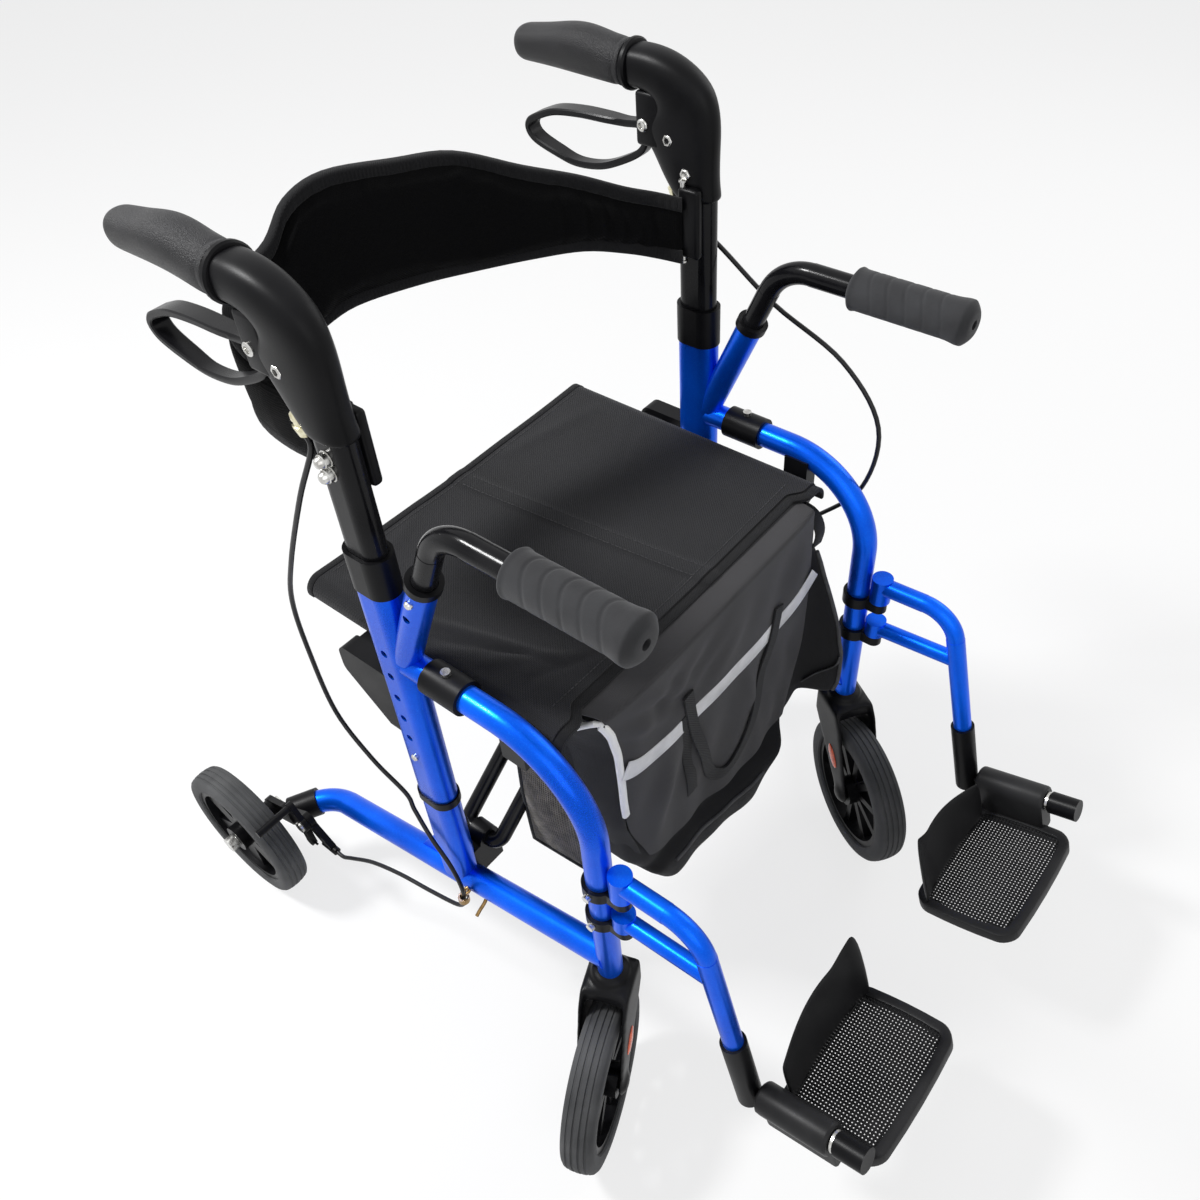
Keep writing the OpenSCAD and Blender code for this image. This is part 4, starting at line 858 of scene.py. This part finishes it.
def hang(piece):
    """Hangs a soft piece on the seat rails: it goes under the seat's body, with a mesh of its own."""
    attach(piece, "seat")
    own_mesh(piece)


def sew_on(piece, material, angle=60):
    """Shades a soft piece, gives it its cloth and hangs it on the seat rails."""
    dress(smooth_shade(piece, angle), material)
    hang(piece)


def stitches(name, lines, length, thick, up):
    """Rows of short stitches: one small rounded block, copied along the lines and turned to follow them."""
    spots = []
    for line in lines:
        spots += [((a + b) / 2, (b - a).normalized()) for a, b in zip(line, line[1:])]
    row = block(name, (-500, -500, -500), (500, 500, 500), 0)
    many = row.modifiers.new("row", "ARRAY")
    many.count = len(spots)
    many.use_relative_offset = False
    many.use_constant_offset = True
    many.constant_offset_displace = (2, 0, 0)
    apply_all(row)
    for index, vert in enumerate(row.data.vertices):
        place, along = spots[index // 8]
        corner = vert.co - Vector((2 * (index // 8), 0, 0))
        side_way = up.cross(along).normalized()
        tall = along.cross(side_way)
        vert.co = place + along * (corner.x * length) + side_way * (corner.y * thick)
        vert.co += tall * (corner.z * thick)
    return dress(row, thread)


sling_line = seat_line(0.6)


def on_sling(column, row):
    x, z = sling_line[column]
    back_by = row / SEAT_ALONG
    y = seat_front(x) * (1 - back_by) + (SEAT_FRONT + SEAT_L) * back_by
    return MIDDLE + Vector((x, y, z - seat_height(x, SEAT_FRONT + SEAT_L * back_by))) / 1000


seat = cloth_panel("seat_sling", len(sling_line) - 1, SEAT_ALONG, on_sling)
smooth_shade(thicken(seat, 0.0028, 1), 50)
dress(seat, seat_cloth)
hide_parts("seat_fabric")
hang(seat)

for name, y in (("front", SEAT_FRONT), ("rear", SEAT_FRONT + SEAT_L)):
    # The front hem is drawn wider than the rear one and set lower and further forward, so that its dark
    # binding also fills the shaded gap between the seat and the flap: a real binding, widened as a painted
    # shade.
    over, wide = (3.0, 1.7) if name == "front" else (0.0, 1.0)
    line = [MIDDLE + Vector((x, seat_front(x) - over if over else y, z - over - seat_height(x, y))) / 1000
            for x, z in seat_line(2.0)]
    band = [(a * wide, b) for a, b in HEM_BAND]
    band += [(-a, -b) for a, b in band]
    sew_on(sweep("seat_hem_" + name, line, band, Vector((0, 1, 0))), binding_cloth, 50)

HEM_IN, BAND_IN, STITCH = 9.0, 8.0, 5.0
sewn = [[on_seat(x * STITCH, y, 3.5) for x in range(-37, 38)]
        for y in (SEAT_FRONT + HEM_IN, SEAT_FRONT + SEAT_L - HEM_IN)]
sewn += [[on_seat(band_middle(y) + edge, y, 3.5)
          for y in (SEAT_FRONT + HEM_IN + STITCH * k for k in range(int((SEAT_L - 2 * HEM_IN) / STITCH)))]
         for edge in (-BAND_IN, BAND_IN)]
hang(stitches("seat_stitching", sewn, 0.0034, 0.0009, Vector((0, 0, 1))))


# Bag: a black nylon sack hung from the seat's front, with a charcoal flap over its face. The flap has a
# silver reflective stripe, a webbing carry handle and a wing bound in white; the sack has grey seams and a
# net pocket.
bag_nylon = cloth("bag_nylon", (0.005, 0.005, 0.006), (0.011, 0.011, 0.012), 1400, facing=(90, 0, 0),
                  weave=0.3, clouds=9, grain=1200, sheen=0.08, gloss=0.12)
flap_nylon = cloth("flap_nylon", (0.036, 0.035, 0.037), (0.056, 0.055, 0.058), 1400, facing=(45, 0, 0),
                   weave=0.3, clouds=6, grain=1200, sheen=0.1, gloss=0.12)
BAG = [  # height, right edge, left edge, front and rear behind the flap's plane
    (524, -172, 174, 8, 34), (511, -168, 176, 3, 34), (496, -162, 184, 0, 62), (470, -157, 196, 0, 96),
    (430, -152, 203, 0, 104), (335, -148, 204, 0, 108), (262, -142, 203, 0, 108), (238, -132, 186, 0, 107),
    (214, -118, 138, 2, 106), (190, -104, 92, 2, 104), (160, -86, 66, 6, 100), (138, -62, 44, 18, 88),
]
FLAP_Y, BAG_CLOTH = -184.0, 0.0016


def bag_swell(x, z):
    """How far the sack stands out past the flap's plane: beside the flap on the left, and under it."""
    beside = ease(x, 181, 197) * (8 + 44 * ease(-z, -490, -270)) * ease(z, 200, 250)
    under = ease(-z, -226, -206) * (12 + 16 * ease(x, -80, 140)) * ease(z, 130, 175)
    return max(beside, under)


def bag_ring(z, x0, x1, y0, y1):
    """Points round the sack at one height: straight runs with round corners, creased and swollen in front."""
    r = min(14.0, (y1 - y0) / 3)
    ring = []
    for corner_x, corner_y, start, run, count in ((x1 - r, y0 + r, 270, Vector((0, y1 - y0 - 2 * r)), 8),
                                                  (x1 - r, y1 - r, 0, Vector((x0 - x1 + 2 * r, 0)), 30),
                                                  (x0 + r, y1 - r, 90, Vector((0, y0 - y1 + 2 * r)), 8),
                                                  (x0 + r, y0 + r, 180, Vector((x1 - x0 - 2 * r, 0)), 30)):
        angles = [math.radians(start + a) for a in (0, 30, 60, 90)]
        turn_points = [(corner_x + r * math.cos(a), corner_y + r * math.sin(a)) for a in angles]
        ring += turn_points
        ring += [(turn_points[-1][0] + run.x * k / count, turn_points[-1][1] + run.y * k / count)
                 for k in range(1, count)]
    places = []
    for x, y in ring:
        crease = 1.4 * math.sin(x / 21 + z / 33) + 0.9 * math.sin(x / 9 - z / 47)
        crease += 1.2 * math.sin(y / 17 + z / 29)
        crease *= ease(-z, -524, -480)
        facing = ease(-y, -y1 + 4, -y0 - r)
        x += crease * (0.8 if x > (x0 + x1) / 2 else -0.8) * (1 - facing)
        places.append(MIDDLE + Vector((x, y - facing * (bag_swell(x, z) + crease), z)) / 1000)
    return places


heights = smooth_line([row[:3] for row in BAG], 5)
depths = smooth_line([(row[3], row[4], 0) for row in BAG], 5)
rings = [bag_ring(z, x0 + 2, x1 - 2, FLAP_Y + front + 4, FLAP_Y + rear - 2)
         for (z, x0, x1), (front, rear, _) in zip(heights, depths)]
bag = smooth_shade(rounder(pull("bag_body", rings), 1), 60)
dress(bag, bag_nylon)
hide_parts("bag")
hang(bag)
bpy.context.view_layer.update()

FLAP = [  # height, right edge and left edge of the flap
    (525, -164, 178), (514, -161, 178), (500, -157, 179), (470, -151, 180), (430, -149, 181),
    (380, -148, 182), (340, -144, 178), (310, -137, 170), (280, -129, 160), (256, -122, 153),
    (240, -117, 149), (229, -113, 146),
]


def flap_fold(x, z):
    """How far the flap's face stands out at a place, by its hanging folds and the carry handle's pull."""
    drop = ease(-z, -528, -470)
    folds = 2.8 * math.sin(x / 26 + 0.6 * math.sin(z / 60)) + 1.8 * math.sin(x / 11 - z / 38)
    folds += 4.4 * math.sin((x + 1.6 * z) / 10) * math.exp(-((x + 112) / 56) ** 2 - ((z - 482) / 40) ** 2)
    folds += 2.6 * math.sin((x - 1.1 * z) / 8) * math.exp(-((x + 40) / 60) ** 2 - ((z - 480) / 34) ** 2)
    folds += 3.2 * math.sin((x - 0.6 * z) / 13) * math.exp(-((x + 84) / 44) ** 2 - ((z - 345) / 50) ** 2)
    folds += 2.2 * math.sin((x + 0.4 * z) / 8) * math.exp(-((x - 120) / 40) ** 2 - ((z - 330) / 60) ** 2)
    gather = 3.4 * math.exp(-((x - 62 + (z - 350) * 0.22) / 9) ** 2)
    gather *= ease(-z, -440, -380) * ease(z, 230, 300)
    gather += 2.8 * math.exp(-((x + 92 - (z - 350) * 0.3) / 11) ** 2) * ease(-z, -430, -370)
    calm = 1 - 0.8 * math.exp(-((z - 418) / 34) ** 2)
    return (drop * (folds + gather) + 1.2 * math.sin(z / 24 + x / 70)) * calm


FLAP_TOP = [(533, -180, 180), (530, -178, 178), (529, -172, 177), (528, -167, 177)]
FLAP_BACK, TOP_ROWS = 48.0, 16
flap_rows = smooth_line(FLAP_TOP + FLAP, 4)
FLAP_ACROSS = 84


def flap_place(column, row):
    z, x0, x1 = flap_rows[row]
    x = x0 + (x1 - x0) * column / FLAP_ACROSS
    z += 20 * ease(-x, -70, 119) * ease(-z, -330, -240)
    edge = abs(2 * column / FLAP_ACROSS - 1) ** 8
    back_by = max(0.0, 1 - row / TOP_ROWS)
    behind = FLAP_BACK * back_by ** 1.4
    z += 4 * back_by * (x / RAIL_X) ** 2
    return MIDDLE + Vector((x, FLAP_Y - 2.5 + behind - flap_fold(x, z) * (1 - edge) + 5 * edge, z)) / 1000


flap = cloth_panel("bag_flap", FLAP_ACROSS, len(flap_rows) - 1, flap_place)
smooth_shade(thicken(flap, BAG_CLOTH), 60)
dress(flap, flap_nylon)
flap_area = sum((b[2] - b[1] + a[2] - a[1]) / 2 * (a[0] - b[0]) for a, b in zip(FLAP, FLAP[1:])) / 1e6
flap_area = flap_area * 1.03 + 0.36 * FLAP_BACK / 1000
hang(flap)


def on_flap(x, z, out):
    return MIDDLE + Vector((x, FLAP_Y - 2.5 - flap_fold(x, z) - out, z)) / 1000


def on_bag(x, z, out):
    """The sack's place nearest to a spot on its front, and so far out of the cloth."""
    spot = MIDDLE + Vector((x, FLAP_Y + 4 - bag_swell(x, z), z)) / 1000
    _, place, outward, _ = bag.closest_point_on_mesh(spot)
    return place + outward * (out / 1000)


def flap_edge(z):
    for a, b in zip(FLAP, FLAP[1:]):
        if a[0] >= z >= b[0]:
            t = (a[0] - z) / (a[0] - b[0])
            return a[1] + t * (b[1] - a[1]), a[2] + t * (b[2] - a[2])
    return FLAP[-1][1:]


def tape(wide, thin):
    """The flat cross-section of a tape, its first axis through it and its second across it."""
    w, t = wide / 2000, thin / 2000
    return [(t * 0.5, w), (t, w * 0.94), (t, -w * 0.94), (t * 0.5, -w), (-t * 0.5, -w), (-t, -w * 0.94),
            (-t, w * 0.94), (-t * 0.5, w)]


silver_tape = finish("silver_tape", (0.62, 0.62, 0.63), (0.84, 0.84, 0.85), 0.3, 0.5, clouds=30, grain=2200,
                     bump=0.2)
white_binding = finish("white_binding", (0.90, 0.90, 0.89), (0.97, 0.97, 0.96), 0.5, 0.7, clouds=60,
                       grain=1800, bump=0.2)
grey_piping = finish("grey_piping", (0.050, 0.050, 0.052), (0.090, 0.090, 0.092), 0.5, 0.7, clouds=60,
                     grain=1800, bump=0.2)
webbing = cloth("webbing", (0.010, 0.010, 0.011), (0.020, 0.020, 0.021), 700, facing=(90, 0, 0), weave=0.8,
                clouds=20, sheen=0.1, gloss=0.12)
THROUGH = Vector((0, 1, 0))
x0, x1 = flap_edge(416)
stripe_line = []
for i in range(81):
    t = i / 80
    stripe_line.append(on_flap(x0 + 1 + (x1 - x0 - 2) * t, 416 + 26 * abs(2 * t - 1) ** 5, 1.6))
wing_top = [(-168, -122, 478), (-170, -150, 501), (-167, -176, 522)]
wing_edge = [(flap_edge(z)[0] - 1.5, FLAP_Y - 1, z) for z in range(508, 360, -20)]
binding_line = smooth_line([MIDDLE + Vector(p) / 1000 for p in wing_top + wing_edge], 4)
CARRY = ((-50, 458), (-41, 400), (-27, 345), (-9, 287), (13, 266), (38, 284), (60, 325), (80, 367), (99, 405),
         (110, 447))
handle_line = smooth_line([on_flap(x, z, 4.5) for x, z in CARRY], 6)
# A near-black webbing band down the flap, beside the carry handle's right leg, stands for the shaded inside
# of a fold there: a painted shade.
fold_shade_line = [on_flap(-52 + (428 - z) * 0.07, z, 1.8) for z in range(288, 429, 7)]
side_line = smooth_line([on_bag(198, z, 1.5) for z in range(462, 236, -18)], 2)
pocket_line = smooth_line([on_bag(x, z, 1.2) for x, z in ((184, 262), (188, 280), (193, 300), (197, 314))], 4)
low_line = smooth_line([on_bag(x, 207 - 0.03 * abs(x - 10), 1.5) for x in range(-80, 83, 12)], 2)
SLING = ((187, -158, 514), (190, -176, 508), (190, -185, 492), (187, -184, 474))
sling_strap = smooth_line([MIDDLE + Vector(p) / 1000 for p in SLING], 4)
trims = {
    "bag_stripe": (stripe_line, tape(21, 1.2), silver_tape),
    "bag_binding": (binding_line, [(0.0030 * c, 0.0046 * d) for c, d in soft_square(10, 2.4)], white_binding),
    "bag_handle": (handle_line, tape(15, 2.4), webbing),
    "bag_fold_shade_band": (fold_shade_line, tape(17, 1.8), webbing),
    "bag_side_seam": (side_line, disc(0.0024, 8), grey_piping),
    "bag_pocket_hem": (pocket_line, tape(9, 1.6), grey_piping),
    "bag_low_hem": (low_line, disc(0.0022, 8), grey_piping),
    "bag_sling": (sling_strap, tape(18, 2.2), webbing),
}
for name, (line, section, material) in trims.items():
    sew_on(sweep(name, line, section, THROUGH), material, 50)

# Wing of the flap, folded round the sack's right front corner.
WING_ACROSS, WING_DOWN = 14, 30


def wing_place(column, row):
    back_by, down = column / WING_ACROSS, row / WING_DOWN
    z = 522 - 250 * down - 44 * back_by * (1 - down)
    bulge = 5 * math.sin(math.pi * back_by) + 1.2 * math.sin(z / 17 + back_by * 5)
    x = flap_edge(z)[0] - 3 - bulge - 6 * back_by
    return MIDDLE + Vector((x, FLAP_Y + 60 * back_by * (1 - 0.35 * down), z)) / 1000


wing = cloth_panel("bag_wing", WING_ACROSS, WING_DOWN, wing_place)
sew_on(thicken(wing, BAG_CLOTH), bag_nylon)

# Net pocket on the sack's right side: a cloth back, a coarse net over it and a bound edge.
# The net's cord is painted a light brownish grey, lighter than the black of the net itself: painted light,
# standing for the light seen through the net's holes.
painted_light_net_cord = finish("painted_light_net_cord", (0.150, 0.140, 0.125), (0.290, 0.270, 0.240), 0.5, 0.7, clouds=80, grain=1800)


def on_pocket(across, down, out):
    """A place on the pocket: from front to rear, from top to bottom, and so far out of the sack's side."""
    y = -123 + (82 - 4 * abs(2 * down - 1)) * across
    z = 384 - 8 * across - (170 + 4 * across) * down
    belly = 7 * math.sin(math.pi * across) * math.sin(math.pi * down)
    return MIDDLE + Vector((-149 - out - belly, y, z)) / 1000


for name, out, columns, lines, material in (("bag_pocket_back", 0, 12, 24, bag_nylon),
                                            ("bag_pocket_net", 4, 26, 54, painted_light_net_cord)):
    panel = cloth_panel(name, columns, lines,
                        lambda column, row: on_pocket(column / columns, row / lines, out))
    if out:
        panel.modifiers.new("net", "WIREFRAME").thickness = 0.0011
        apply_all(panel)
    else:
        thicken(panel, 0.0014)
    sew_on(panel, material)
border = [on_pocket(t / 8, 0, 3) for t in range(8)] + [on_pocket(1, t / 14, 3) for t in range(14)]
border += [on_pocket(1 - t / 8, 1, 3) for t in range(8)] + [on_pocket(0, 1 - t / 14, 3) for t in range(14)]
edging = sweep("bag_pocket_edge", border, [(0.0034 * c, 0.0034 * d) for c, d in soft_square(10, 2.4)],
               Vector((1, 0, 0)), closed=True)
sew_on(edging, webbing)


# Backrest: a padded strap of black polyester that bows out behind the sitter between the two handles, sewn
# round its edge and stiffened by a foam core.
STRAP = [  # x and y of the middle line, and the heights of the lower and upper edges
    (-205.6, -2, 740, 808), (-209, 40, 736, 812), (-213, 84, 734, 816), (-208, 132, 736, 822),
    (-190, 166, 740, 830), (-160, 184, 745, 840), (-124, 189, 751, 851), (-98, 187, 757, 877),
    (-60, 178, 766, 888), (0, 158, 765, 881), (50, 136, 762, 874), (100, 103, 762, 850),
    (140, 72, 761, 833), (172, 44, 752, 816), (192, 22, 744, 808), (205.6, -2, 738, 802),
]
PAD_HALF = 12.0
GATHERS = ((118, 1.2, 2.5), (136, 2.0, 3), (150, 2.6, 3.2), (163, 2.4, 3), (176, 2.0, 2.6), (187, 1.6, 2.4),
           (-206, 1.6, 3))  # x, depth and half width of the folds near the ends
back_cloth = cloth("back_cloth", (0.0008, 0.0008, 0.001), (0.002, 0.002, 0.0024), 800, facing=(90, 0, 0),
                   weave=0.5, clouds=8, grain=1300, sheen=0.02, gloss=0.06)
line = smooth_line([(x, y, 0) for x, y, _, _ in STRAP], 5)
edges = smooth_line([(low, high, 0) for _, _, low, high in STRAP], 5)
outward = []
for i in range(len(line)):
    along = (line[min(i + 1, len(line) - 1)] - line[max(i - 1, 0)]).normalized()
    outward.append(Vector((along.y, -along.x, 0)))


def pad_half(i):
    return PAD_HALF * (0.42 + 0.58 * math.sin(math.pi * i / (len(line) - 1)))


def strap_place(i, out, height):
    """A place beside the strap's middle line: so far out as a share of its half thickness, at a height."""
    return MIDDLE + (line[i] + outward[i] * (pad_half(i) * out) + Vector((0, 0, height))) / 1000


def plump(piece, voxel, pressure, reach):
    """Swells a closed skin as stuffing does: an even net, air inside, no point moved further than reach."""
    even = piece.modifiers.new("even", "REMESH")
    even.mode = "VOXEL"
    even.voxel_size = voxel
    apply_all(piece)
    before = [vert.co.copy() for vert in piece.data.vertices]
    stuffed = piece.modifiers.new("stuffing", "CLOTH")
    stuffed.settings.use_pressure = True
    stuffed.settings.uniform_pressure_force = pressure
    stuffed.settings.effector_weights.gravity = 0
    stuffed.point_cache.frame_end = 20
    for moment in range(1, 21):
        bpy.context.scene.frame_set(moment)
    apply_all(piece)
    bpy.context.scene.frame_set(1)
    for vert, place in zip(piece.data.vertices, before):
        move = vert.co - place
        if move.length > reach:
            vert.co = place + move.normalized() * reach
    return rounder(piece, 1)


rings = []
for i, (low, high, _) in enumerate(edges):
    tall = (high - low) / 2 - 2
    rings.append([strap_place(i, 0.8 * c, (low + high) / 2 + d * tall) for c, d in soft_square(28, 3.2)])
backrest = plump(pull("back_strap", rings), 0.005, 4.0, 0.005)
for vert in backrest.data.vertices:
    place = (vert.co - MIDDLE) * 1000
    i = min(range(len(line)), key=lambda k: (line[k].x - place.x) ** 2 + (line[k].y - place.y) ** 2)
    face = (place - line[i]).dot(outward[i]) / pad_half(i)
    sunk = sum(deep * math.exp(-((place.x - x + 0.04 * (place.z - 780)) / wide) ** 2)
               for x, deep, wide in GATHERS if line[i].y < 100)
    vert.co -= outward[i] * (max(-1.0, min(1.0, face)) * sunk / 1000)
smooth_shade(backrest, 60)
dress(backrest, back_cloth)
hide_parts("backrest")
bindings = [backrest]
for name, pick, lift in (("back_binding_top", 1, -5.5), ("back_binding_low", 0, 5.5)):
    rings = []
    for i in range(1, len(line) - 1):
        middle = edges[i][pick] + lift
        rings.append([strap_place(i, 0.52 * c, middle + 7 * d) for c, d in soft_square(16, 3)])
    binding = smooth_shade(pull(name, rings), 50)
    bindings.append(dress(binding, binding_cloth))
for piece in bindings:
    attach(piece, "right_handle")
    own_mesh(piece)
